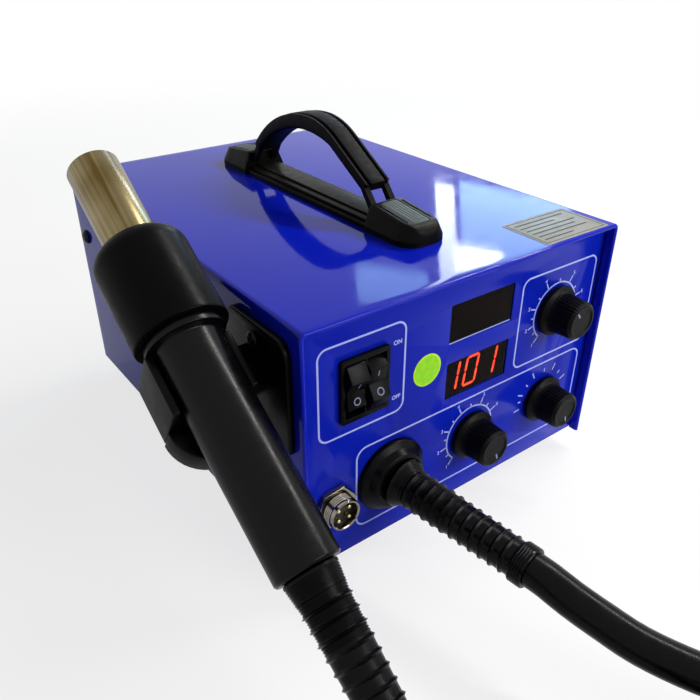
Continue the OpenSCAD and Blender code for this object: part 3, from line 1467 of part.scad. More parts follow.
// Control board on its spacers, with its larger parts
module main_board() {
    color("darkgreen") {
        difference() {
            union() {
                translate([board_x - board_w / 2, board_y - board_l / 2, board_z]) cube([board_w, board_l, board_t]);
                for (p = board_holes) translate([p[0], p[1], floor_top]) cylinder(d = spacer_d, h = board_lift);
            }
            for (p = board_holes) translate([p[0], p[1], floor_top + 1.5])
                cylinder(d = screw_d, h = board_lift + board_t + cut);
        }
        for (y = [-30, -16]) translate([board_x - 20, board_y + y, board_z + board_t]) cylinder(d = 10, h = 18);
        translate([board_x + 8, board_y - 38, board_z + board_t]) cube([18, 15, 15]);
        for (x = [-28, 4]) translate([board_x + x, board_y + 32, board_z + board_t]) cube([24, 9, 12]);
    }
}

// Finned heat sink that carries the heater's triac
module heat_sink() {
    fin_count = 7;
    fin_pitch = 5;
    fin_h = 22;
    sink_l = 38;
    width = (fin_count - 1) * fin_pitch + 2;
    color("#2e3033") translate([board_x - 5, board_y - 6, board_z + board_t]) {
        cube([width, sink_l, 3]);
        for (i = [0:fin_count - 1]) translate([i * fin_pitch, 0, 0]) cube([2, sink_l, fin_h]);
    }
}

cover();
base_tray();
front_panel();
rear_panel();
cover_screws();
rubber_feet();
feet_screws();
handle_bar();
handle_strap();
handle_end_caps();
handle_cap_inserts();
fixing_screws();
gun_cradle();
switch_body();
rocker_left();
rocker_right();
display_windows();
display_modules();
display_board();
control_pots();
control_nuts();
shaft_heater();
shaft_air();
shaft_iron();
knob_heater();
knob_air();
knob_iron();
socket_shell();
socket_nut();
socket_insert();
socket_pins();
hose_gland();
gland_nut();
hose_sleeve();
air_hose();
hose_coil();
gun_tail_sleeve();
gun_handle();
gun_collar();
gun_pipe();
heater_former();
heater_coil();
heater_liner();
mains_inlet();
inlet_blades();
fuse_drawer();
fuse();
transformer_core();
transformer_winding();
transformer_bracket();
pump_frame();
pump_feet();
pump_magnet();
pump_winding();
pump_arm();
pump_chamber();
pump_diaphragm();
air_tube();
main_board();
heat_sink();
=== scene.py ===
import logging
import math
from dataclasses import dataclass
from enum import Enum
from typing import Callable, Iterable, Sequence

import bmesh
import bpy
from mathutils import Matrix, Vector


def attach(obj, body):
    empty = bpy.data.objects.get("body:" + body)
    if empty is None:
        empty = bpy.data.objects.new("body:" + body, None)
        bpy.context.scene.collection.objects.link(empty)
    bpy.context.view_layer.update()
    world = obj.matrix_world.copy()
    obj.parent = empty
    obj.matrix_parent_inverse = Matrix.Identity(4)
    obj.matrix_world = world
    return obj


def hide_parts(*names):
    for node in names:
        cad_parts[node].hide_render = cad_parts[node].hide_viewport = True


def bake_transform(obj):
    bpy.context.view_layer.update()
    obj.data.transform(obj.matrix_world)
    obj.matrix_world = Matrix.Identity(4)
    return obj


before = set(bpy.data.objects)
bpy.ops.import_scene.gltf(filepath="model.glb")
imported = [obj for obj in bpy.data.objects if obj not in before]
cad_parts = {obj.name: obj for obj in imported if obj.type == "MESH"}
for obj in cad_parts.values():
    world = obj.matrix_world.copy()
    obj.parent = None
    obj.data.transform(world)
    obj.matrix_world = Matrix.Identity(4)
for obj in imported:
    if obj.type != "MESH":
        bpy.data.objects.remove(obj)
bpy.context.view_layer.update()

LOG = logging.getLogger("hot_air_station")

Flat = tuple[float, float]
Solid = tuple[float, float, float]


# Small helpers for colour, nodes and flat lines


def linear(code: str) -> tuple[float, float, float, float]:
    """Turns an sRGB hex colour into linear light.

    Args:
        code: Six hex digits with a leading hash.

    Returns:
        Linear red, green, blue, and an alpha of one.
    """
    channels = [int(code[i : i + 2], 16) / 255 for i in (1, 3, 5)]
    light = [c / 12.92 if c <= 0.04045 else ((c + 0.055) / 1.055) ** 2.4 for c in channels]
    return (light[0], light[1], light[2], 1.0)


def add_node(
    tree: bpy.types.NodeTree,
    kind: str,
    settings: dict | None = None,
    links: dict | None = None,
    stops: Sequence[tuple[float, str | float]] = (),
) -> bpy.types.Node:
    """Adds one node with its settings and links.

    Args:
        tree: The node tree that takes the node.
        kind: The node's Blender type.
        settings: Attribute names or input names, with their values.
        links: Input names or numbers, with the output socket that feeds each.
        stops: Positions and hex colours or grey levels, for a colour ramp.

    Returns:
        The new node.
    """
    node = tree.nodes.new(kind)
    for name, value in (settings or {}).items():
        if isinstance(name, str) and hasattr(node, name):
            setattr(node, name, value)
        else:
            node.inputs[name].default_value = value
    for name, socket in (links or {}).items():
        tree.links.new(socket, node.inputs[name])
    for index, (position, shade) in enumerate(stops):
        element = node.color_ramp.elements[index] if index < 2 else node.color_ramp.elements.new(position)
        element.position = position
        element.color = linear(shade) if isinstance(shade, str) else (shade, shade, shade, 1.0)
    return node


def arc(centre: Flat, radius: float, start: float, end: float, steps: int) -> list[Flat]:
    """Points along an arc.

    Args:
        centre: Middle of the arc.
        radius: Its radius.
        start: First angle, in degrees.
        end: Last angle, in degrees.
        steps: Number of straight pieces.

    Returns:
        steps + 1 points.
    """
    return [
        (
            centre[0] + radius * math.cos(math.radians(start + (end - start) * i / steps)),
            centre[1] + radius * math.sin(math.radians(start + (end - start) * i / steps)),
        )
        for i in range(steps + 1)
    ]


def eased(points: Sequence[Sequence[float]], closed: bool = False, steps: int = 4) -> list[Flat]:
    """Rounds the corners of a flat line.

    Args:
        points: Corners as (x, y), or (x, y, radius) where the corner is round.
        closed: Whether the last point joins the first.
        steps: Straight pieces in each rounded corner.

    Returns:
        The line with an arc at each rounded corner.
    """
    line: list[Flat] = []
    count = len(points)
    for i, point in enumerate(points):
        here = Vector(point[:2])
        radius = point[2] if len(point) > 2 else 0.0
        if radius <= 0 or (not closed and i in (0, count - 1)):
            line.append((here.x, here.y))
            continue
        back = Vector(points[i - 1][:2]) - here
        ahead = Vector(points[(i + 1) % count][:2]) - here
        half = back.angle(ahead) / 2
        reach = min(radius / math.tan(half), back.length * 0.49, ahead.length * 0.49)
        radius = reach * math.tan(half)
        middle = here + (back.normalized() + ahead.normalized()).normalized() * (radius / math.sin(half))
        first = here + back.normalized() * reach - middle
        turn = first.angle_signed(here + ahead.normalized() * reach - middle)
        for k in range(steps + 1):
            spoke = first.copy()
            spoke.rotate(Matrix.Rotation(-turn * k / steps, 2))
            line.append(tuple(middle + spoke))
    return line


def round_box(width: float, height: float, radius: float, steps: int = 6, centre: Flat = (0, 0)) -> list[Flat]:
    """A closed line round a flat box with round corners.

    Args:
        width: Size across.
        height: Size up.
        radius: Radius of the corners.
        steps: Straight pieces in each corner.
        centre: Middle of the box.

    Returns:
        The line, turning left.
    """
    line: list[Flat] = []
    for corner, (sx, sy) in enumerate(((1, 1), (-1, 1), (-1, -1), (1, -1))):
        middle = (centre[0] + sx * (width / 2 - radius), centre[1] + sy * (height / 2 - radius))
        line += arc(middle, radius, 90 * corner, 90 * corner + 90, steps)
    return line


def placed(origin: Solid, across: Solid, up: Solid) -> Matrix:
    """A local frame in millimetres.

    Args:
        origin: Where the local zero is.
        across: Direction of local x.
        up: Direction of local y.

    Returns:
        The matrix, with local z square to both.
    """
    x, y = Vector(across).normalized(), Vector(up).normalized()
    z = x.cross(y)
    turn = Matrix((x, y, z)).transposed().to_4x4()
    return Matrix.Translation(Vector(origin)) @ turn


def facing_front(x: float, y: float, z: float) -> Matrix:
    """A frame on a plane that faces the front, local z pointing at the viewer."""
    return placed((x, y, z), (1, 0, 0), (0, 0, 1))


def facing_rear(x: float, y: float, z: float) -> Matrix:
    """A frame on a plane that faces the rear, local z pointing back."""
    return placed((x, y, z), (-1, 0, 0), (0, 0, 1))


def facing_side(side: int, x: float, y: float, z: float) -> Matrix:
    """A frame on a side wall, local z pointing out of side 1 or -1."""
    return placed((x, y, z), (0, side, 0), (0, 0, 1))


# Finishes


@dataclass(frozen=True)
class Finish:
    """A surface as it was made: its colour, gloss and the small unevenness of its making."""

    name: str
    colour: str
    roughness: float
    metallic: float = 0.0
    ior: float = 1.5
    specular: float = 0.5
    sheen: float = 0.0
    mottle: float = 0.0
    mottle_mm: float = 15.0
    gloss_change: float = 0.0
    gloss_mm: float = 8.0
    grain_mm: float = 0.6
    grain_high_mm: float = 0.0

    def build(self) -> bpy.types.Material:
        """Makes the material once, and gives it again when asked."""
        known = bpy.data.materials.get(self.name)
        if known:
            return known
        material = bpy.data.materials.new(self.name)
        material.use_nodes = True
        tree = material.node_tree
        shader = tree.nodes["Principled BSDF"]
        shader.inputs["Base Color"].default_value = linear(self.colour)
        shader.inputs["Roughness"].default_value = self.roughness
        shader.inputs["Metallic"].default_value = self.metallic
        shader.inputs["IOR"].default_value = self.ior
        shader.inputs["Specular IOR Level"].default_value = self.specular
        shader.inputs["Sheen Weight"].default_value = self.sheen
        place = add_node(tree, "ShaderNodeTexCoord").outputs["Object"]
        self.pattern(tree, shader, place)
        return material

    def noise(
        self, tree: bpy.types.NodeTree, place: bpy.types.NodeSocket, size_mm: float, detail: float = 3.0
    ) -> bpy.types.NodeSocket:
        """A noise whose blotches are size_mm across.

        Args:
            tree: The material's node tree.
            place: The coordinates.
            size_mm: Size of a blotch.
            detail: Octaves of finer noise.

        Returns:
            The grey output.
        """
        return add_node(
            tree, "ShaderNodeTexNoise", {"Scale": 1000 / size_mm, "Detail": detail}, {"Vector": place}
        ).outputs["Fac"]

    def pattern(self, tree: bpy.types.NodeTree, shader: bpy.types.Node, place: bpy.types.NodeSocket) -> None:
        """Adds the colour change, the gloss change and the grain.

        Args:
            tree: The material's node tree.
            shader: Its surface shader.
            place: Object coordinates, in metres.
        """
        if self.mottle:
            blotch = self.noise(tree, place, self.mottle_mm)
            shade = add_node(
                tree,
                "ShaderNodeMix",
                {"data_type": "RGBA", "blend_type": "MULTIPLY", 0: self.mottle},
                {0: blotch},
            )
            base = linear(self.colour)
            shade.inputs[6].default_value = base
            shade.inputs[7].default_value = (1 - self.mottle, 1 - self.mottle, 1 - self.mottle, 1)
            tree.links.new(shade.outputs[2], shader.inputs["Base Color"])
        if self.gloss_change:
            patch = self.noise(tree, place, self.gloss_mm, 5.0)
            spread = add_node(
                tree,
                "ShaderNodeMapRange",
                {
                    "From Min": 0.3,
                    "From Max": 0.7,
                    "To Min": max(self.roughness - self.gloss_change, 0.02),
                    "To Max": self.roughness + self.gloss_change,
                },
                {"Value": patch},
            )
            tree.links.new(spread.outputs["Result"], shader.inputs["Roughness"])
        if self.grain_high_mm:
            grain = self.noise(tree, place, self.grain_mm, 2.0)
            bump = add_node(
                tree, "ShaderNodeBump", {"Strength": 1.0, "Distance": self.grain_high_mm / 1000}, {"Height": grain}
            )
            tree.links.new(bump.outputs["Normal"], shader.inputs["Normal"])


@dataclass(frozen=True)
class DrawnTube(Finish):
    """Metal drawn along an axis: fine lengthwise lines, darker streaks, and a warm tint from heat."""

    axis: Solid = (0, 0, 1)
    line_mm: float = 0.35
    tint: str = "#8a6a3c"

    def pattern(self, tree: bpy.types.NodeTree, shader: bpy.types.Node, place: bpy.types.NodeSocket) -> None:
        """Adds the lines and the tint.

        Args:
            tree: The material's node tree.
            shader: Its surface shader.
            place: Object coordinates, in metres.
        """
        turn = Vector(self.axis).normalized().rotation_difference(Vector((0, 0, 1))).to_euler()
        along = add_node(
            tree, "ShaderNodeMapping", {"Rotation": tuple(turn)}, {"Vector": place}
        ).outputs["Vector"]
        thin = add_node(tree, "ShaderNodeMapping", {"Scale": (1, 1, 0.02)}, {"Vector": along}).outputs["Vector"]
        lines = self.noise(tree, thin, self.line_mm, 4.0)
        broad = self.noise(tree, thin, 3.0, 3.0)
        cloud = self.noise(tree, place, 30.0, 2.0)
        mixed = add_node(
            tree, "ShaderNodeMath", {"operation": "MULTIPLY_ADD", 1: 1.6}, {0: broad, 2: cloud}
        ).outputs[0]
        share = add_node(tree, "ShaderNodeMapRange", {"From Min": 1.05, "From Max": 1.5}, {"Value": mixed})
        ramp = add_node(
            tree, "ShaderNodeValToRGB", {}, {"Fac": share.outputs["Result"]},
            stops=((0.0, self.tint), (1.0, self.colour))
        )
        tree.links.new(ramp.outputs["Color"], shader.inputs["Base Color"])
        rough = add_node(
            tree,
            "ShaderNodeMapRange",
            {"To Min": self.roughness - 0.1, "To Max": self.roughness + 0.16},
            {"Value": lines},
        )
        tree.links.new(rough.outputs["Result"], shader.inputs["Roughness"])
        bump = add_node(tree, "ShaderNodeBump", {"Strength": 0.6, "Distance": 0.00001}, {"Height": lines})
        tree.links.new(bump.outputs["Normal"], shader.inputs["Normal"])


@dataclass(frozen=True)
class Striped(Finish):
    """A stack or a winding: even lines across one axis, such as laminations or turns of wire."""

    second: str = "#404040"
    pitch_mm: float = 1.0
    direction: Solid = (0, 0, 1)

    def pattern(self, tree: bpy.types.NodeTree, shader: bpy.types.Node, place: bpy.types.NodeSocket) -> None:
        """Adds the lines as colour and as height.

        Args:
            tree: The material's node tree.
            shader: Its surface shader.
            place: Object coordinates, in metres.
        """
        along = add_node(
            tree, "ShaderNodeVectorMath", {"operation": "DOT_PRODUCT", 1: self.direction}, {0: place}
        ).outputs["Value"]
        phase = add_node(
            tree, "ShaderNodeMath", {"operation": "MULTIPLY", 1: 2000 * math.pi / self.pitch_mm}, {0: along}
        ).outputs[0]
        wave = add_node(tree, "ShaderNodeMath", {"operation": "SINE"}, {0: phase}).outputs[0]
        share = add_node(
            tree, "ShaderNodeMapRange", {"From Min": -1.0, "From Max": 1.0}, {"Value": wave}
        ).outputs["Result"]
        ramp = add_node(
            tree, "ShaderNodeValToRGB", {}, {"Fac": share}, stops=((0.15, self.second), (0.6, self.colour))
        )
        tree.links.new(ramp.outputs["Color"], shader.inputs["Base Color"])
        bump = add_node(tree, "ShaderNodeBump", {"Strength": 0.8, "Distance": 0.0001}, {"Height": share})
        tree.links.new(bump.outputs["Normal"], shader.inputs["Normal"])


@dataclass(frozen=True)
class TintedWindow(Finish):
    """Cast acrylic that light passes through."""

    def pattern(self, tree: bpy.types.NodeTree, shader: bpy.types.Node, place: bpy.types.NodeSocket) -> None:
        """Lets light through, with a faint ripple of the casting.

        Args:
            tree: The material's node tree.
            shader: Its surface shader.
            place: Object coordinates, in metres.
        """
        shader.inputs["Transmission Weight"].default_value = 1.0
        ripple = self.noise(tree, place, 9.0, 1.0)
        bump = add_node(tree, "ShaderNodeBump", {"Strength": 0.3, "Distance": 0.00002}, {"Height": ripple})
        tree.links.new(bump.outputs["Normal"], shader.inputs["Normal"])


@dataclass(frozen=True)
class Glowing(Finish):
    """A lit light guide."""

    glow: str = "#ff5a30"
    strength: float = 3.0

    def pattern(self, tree: bpy.types.NodeTree, shader: bpy.types.Node, place: bpy.types.NodeSocket) -> None:
        """Adds the light, a little uneven along the guide.

        Args:
            tree: The material's node tree.
            shader: Its surface shader.
            place: Object coordinates, in metres.
        """
        shader.inputs["Emission Strength"].default_value = self.strength
        uneven = self.noise(tree, place, 2.0, 1.0)
        ramp = add_node(
            tree, "ShaderNodeValToRGB", {}, {"Fac": uneven}, stops=((0.3, self.glow), (0.75, "#ff9a78"))
        )
        tree.links.new(ramp.outputs["Color"], shader.inputs["Emission Color"])


# Gloss enamel baked on sheet steel: deep blue, mirror-like, with a slight orange peel
ENAMEL = Finish("gloss_enamel_on_steel", "#0b1cb4", 0.07, specular=0.12, mottle=0.05, mottle_mm=30,
                gloss_change=0.03, gloss_mm=12, grain_mm=2.2, grain_high_mm=0.005)
# Sprayed enamel of the front panel, smoothed for the print: the same blue, softer and with little glare
PANEL_ENAMEL = Finish("sprayed_panel_enamel", "#0b1fac", 0.2, specular=0.07, mottle=0.08, mottle_mm=40,
                      gloss_change=0.04, gloss_mm=10, grain_mm=1.8, grain_high_mm=0.006)
# Screen-printed ink: pale lavender, a little matt against the enamel
PRINT_INK = Finish("screen_printed_ink", "#aeb8f6", 0.45, specular=0.3, mottle=0.12, mottle_mm=1.5,
                   grain_mm=0.3, grain_high_mm=0.004)
# Pad-printed marks on black plastic: the same ink, thin enough for the black to dull it
PAD_PRINT = Finish("pad_printed_ink", "#8388a4", 0.5, specular=0.2, mottle=0.15, mottle_mm=1.2, grain_mm=0.3,
                   grain_high_mm=0.004)
# Blackened steel screws: dark with a soft metallic sheen
BLACK_STEEL = Finish("blackened_steel", "#1a1a1c", 0.38, metallic=0.9, mottle=0.3, mottle_mm=2,
                     gloss_change=0.1, gloss_mm=1.5, grain_mm=0.4, grain_high_mm=0.01)
# Zinc-plated steel: pale grey with cloudy plating
ZINC = Finish("zinc_plated_steel", "#b9bcc0", 0.32, metallic=1.0, mottle=0.2, mottle_mm=3,
              gloss_change=0.1, gloss_mm=2, grain_mm=0.5, grain_high_mm=0.006)
# Pressed rubber: matt black with a dusty grain
FOOT_RUBBER = Finish("pressed_rubber", "#121214", 0.75, specular=0.3, mottle=0.25, mottle_mm=4,
                     gloss_change=0.08, gloss_mm=3, grain_mm=0.5, grain_high_mm=0.03)
# Moulded polypropylene of the handle's bar and caps: black with a soft spark-eroded grain
HANDLE_PP = Finish("moulded_polypropylene", "#0b0a07", 0.38, specular=0.05, mottle=0.2, mottle_mm=9,
                   gloss_change=0.07, gloss_mm=4, grain_mm=0.5, grain_high_mm=0.02)
# Moulded soft vinyl of the strap: black, a broader shine than the caps
STRAP_VINYL = Finish("moulded_vinyl", "#0b0b0e", 0.48, specular=0.045, mottle=0.2, mottle_mm=7,
                     gloss_change=0.07, gloss_mm=3, grain_mm=0.4, grain_high_mm=0.025)
# Moulded grey insert, slightly matt
INSERT_PP = Finish("moulded_grey_insert", "#565f5d", 0.5, specular=0.12, mottle=0.15, mottle_mm=3,
                   gloss_change=0.06, gloss_mm=2, grain_mm=0.4, grain_high_mm=0.02)
# Moulded ABS of the cradle, gland and switch: black and fairly glossy
BLACK_ABS = Finish("moulded_black_abs", "#040406", 0.33, specular=0.07, mottle=0.2, mottle_mm=8,
                   gloss_change=0.06, gloss_mm=5, grain_mm=0.5, grain_high_mm=0.015)
# Glass-filled nylon of the knobs: near black, satin
KNOB_NYLON = Finish("moulded_knob_nylon", "#050506", 0.4, specular=0.07, mottle=0.25, mottle_mm=4,
                    gloss_change=0.08, gloss_mm=2, grain_mm=0.35, grain_high_mm=0.02)
# Gun handle, moulded nylon: satin black with a long soft highlight
GRIP_NYLON = Finish("moulded_grip_nylon", "#040406", 0.25, specular=0.13, mottle=0.2, mottle_mm=14,
                    gloss_change=0.05, gloss_mm=6, grain_mm=0.45, grain_high_mm=0.012)
# Collar, moulded heat-resistant phenolic: a touch duller than the handle
COLLAR_PHENOLIC = Finish("moulded_phenolic", "#050507", 0.34, specular=0.04, mottle=0.25, mottle_mm=10,
                         gloss_change=0.07, gloss_mm=5, grain_mm=0.5, grain_high_mm=0.02)
# Extruded rubber hose and moulded rubber sleeves: black, soft highlight
HOSE_RUBBER = Finish("extruded_rubber", "#060608", 0.26, specular=0.09, mottle=0.2, mottle_mm=10,
                     gloss_change=0.08, gloss_mm=5, grain_mm=0.8, grain_high_mm=0.02)
# Chromed brass of the round socket
CHROME = Finish("chromed_brass", "#928b7f", 0.13, metallic=1.0, mottle=0.15, mottle_mm=4, gloss_change=0.05,
                gloss_mm=2, grain_mm=0.6, grain_high_mm=0.003)
# Gold-flashed contact pins
PIN_GOLD = Finish("gold_flashed_brass", "#e0cf9c", 0.2, metallic=1.0, mottle=0.15, mottle_mm=1.5,
                  gloss_change=0.05, gloss_mm=1, grain_mm=0.3, grain_high_mm=0.002)
# Phenolic insert round the pins
SOCKET_PHENOLIC = Finish("moulded_dark_phenolic", "#1f1d1b", 0.5, mottle=0.3, mottle_mm=2, gloss_change=0.08,
                         gloss_mm=1, grain_mm=0.3, grain_high_mm=0.02)
# Tinted acrylic of the display windows: nearly black where no segment is lit, with an anti-glare face, so
# its IOR is set below solid acrylic's
WINDOW_ACRYLIC = TintedWindow("cast_tinted_acrylic", "#7a4038", 0.04, ior=1.1)
# Face of a seven-segment module: matt charcoal
MODULE_FACE = Finish("moulded_display_face", "#0c0909", 0.6, specular=0.2, mottle=0.2, mottle_mm=3,
                     gloss_change=0.05, gloss_mm=2, grain_mm=0.3, grain_high_mm=0.01)
# Unlit segment: cloudy resin, dim brown
DARK_SEGMENT = Finish("cast_resin_unlit", "#1c1413", 0.4, specular=0.2, mottle=0.2, mottle_mm=1,
                      gloss_change=0.05, gloss_mm=1, grain_mm=0.3, grain_high_mm=0.005)
# Lit segment: cloudy resin, orange pink in its middle
LIT_SEGMENT = Glowing("cast_resin_lit", "#c02010", 0.4, glow="#ff6a40", strength=11.0)
# Resin beside a lit segment: a dim red from the light that leaks into it
SEGMENT_HALO = Glowing("cast_resin_edge_glow", "#5a0c06", 0.4, glow="#e01c08", strength=1.1)
# Glossy vinyl sticker: yellow green
STICKER_VINYL = Finish("printed_vinyl_green", "#a0f21a", 0.28, specular=0.15, mottle=0.4, mottle_mm=2.6,
                       gloss_change=0.06, gloss_mm=3, grain_mm=2.5, grain_high_mm=0.03)
# The sticker's rim, printed yellower
STICKER_RIM = Finish("printed_vinyl_rim", "#c4ee1c", 0.3, specular=0.15, mottle=0.1, mottle_mm=2,
                     gloss_change=0.05, gloss_mm=2, grain_mm=1.5, grain_high_mm=0.02)
# Aluminium foil label: brownish grey, cloudy, with shallow creases
FOIL = Finish("brushed_foil_label", "#83827a", 0.5, metallic=0.5, specular=0.3, mottle=0.3, mottle_mm=7,
              gloss_change=0.08, gloss_mm=5, grain_mm=3, grain_high_mm=0.02)
# Ink of the label's blank rules
LABEL_INK = Finish("label_rule_ink", "#232320", 0.55, specular=0.2, mottle=0.4, mottle_mm=0.8, gloss_change=0.05,
                   gloss_mm=1, grain_mm=0.3, grain_high_mm=0.004)
# Mica, split sheet: amber brown, flaky
MICA = Finish("split_mica", "#8d7148", 0.4, mottle=0.4, mottle_mm=3, gloss_change=0.12, gloss_mm=2,
              grain_mm=1.0, grain_high_mm=0.03)
# Extruded cordierite ceramic, unglazed
CERAMIC = Finish("extruded_ceramic", "#d9d3c4", 0.85, mottle=0.15, mottle_mm=3, grain_mm=0.4,
                 grain_high_mm=0.03)
# Oxidised resistance wire
HEATER_WIRE = Finish("oxidised_resistance_wire", "#5d5751", 0.5, metallic=0.8, mottle=0.35, mottle_mm=1.5,
                     grain_mm=0.3, grain_high_mm=0.01)
# Control board with green solder mask
SOLDER_MASK = Finish("green_solder_mask", "#0f5a2c", 0.35, mottle=0.3, mottle_mm=5, gloss_change=0.08,
                     gloss_mm=3, grain_mm=0.8, grain_high_mm=0.02)
# Black anodised extruded heat sink
ANODISED = Finish("black_anodised_aluminium", "#25272a", 0.45, metallic=0.6, mottle=0.2, mottle_mm=5,
                  gloss_change=0.08, gloss_mm=3, grain_mm=0.5, grain_high_mm=0.01)
# Machined aluminium of shafts, nuts and pot cans
MACHINED = Finish("machined_aluminium", "#b4b6b8", 0.3, metallic=1.0, mottle=0.15, mottle_mm=2,
                  gloss_change=0.08, gloss_mm=1, grain_mm=0.3, grain_high_mm=0.006)
# Silicone tube, translucent cream
SILICONE = Finish("extruded_silicone", "#cfc9b8", 0.4, mottle=0.12, mottle_mm=8, gloss_change=0.06,
                  gloss_mm=4, grain_mm=0.8, grain_high_mm=0.01)
# Moulded acetal of the pump's chamber
ACETAL = Finish("moulded_acetal", "#cfcfc8", 0.42, mottle=0.1, mottle_mm=8, gloss_change=0.06, gloss_mm=4,
                grain_mm=0.5, grain_high_mm=0.015)
# Fuse glass with its caps, seen as one small pale tube
FUSE_GLASS = Finish("fuse_glass_and_caps", "#c9cfd0", 0.15, metallic=0.3, mottle=0.2, mottle_mm=4,
                    grain_mm=0.5, grain_high_mm=0.002)
# Varnished core laminations, 0.5 mm each, drawn 1 mm apart so that they show
CORE_STEEL = Striped("varnished_laminations", "#4b4e52", 0.45, metallic=0.5, second="#232528", pitch_mm=1.0,
                     direction=(0, 1, 0))
# The pump magnet's laminations, stacked across it
MAGNET_STEEL = Striped("varnished_magnet_laminations", "#4b4e52", 0.45, metallic=0.5, second="#232528",
                       pitch_mm=1.0, direction=(1, 0, 0))
# Polyester tape over the windings, its wraps 2.4 mm apart
WINDING_TAPE = Striped("wound_polyester_tape", "#c79a2a", 0.4, second="#8e6a18", pitch_mm=2.4)

GUN_SLOPE = math.radians(33)
GUN_AXIS = (0.0, math.cos(GUN_SLOPE), math.sin(GUN_SLOPE))
# Stainless pipe, drawn and heat tinted: warm grey, lengthwise lines, dark and bright streaks
PIPE_STEEL = DrawnTube("drawn_stainless_heat_tinted", "#877c5c", 0.2, metallic=1.0, axis=GUN_AXIS,
                       tint="#594720")


# Making one piece


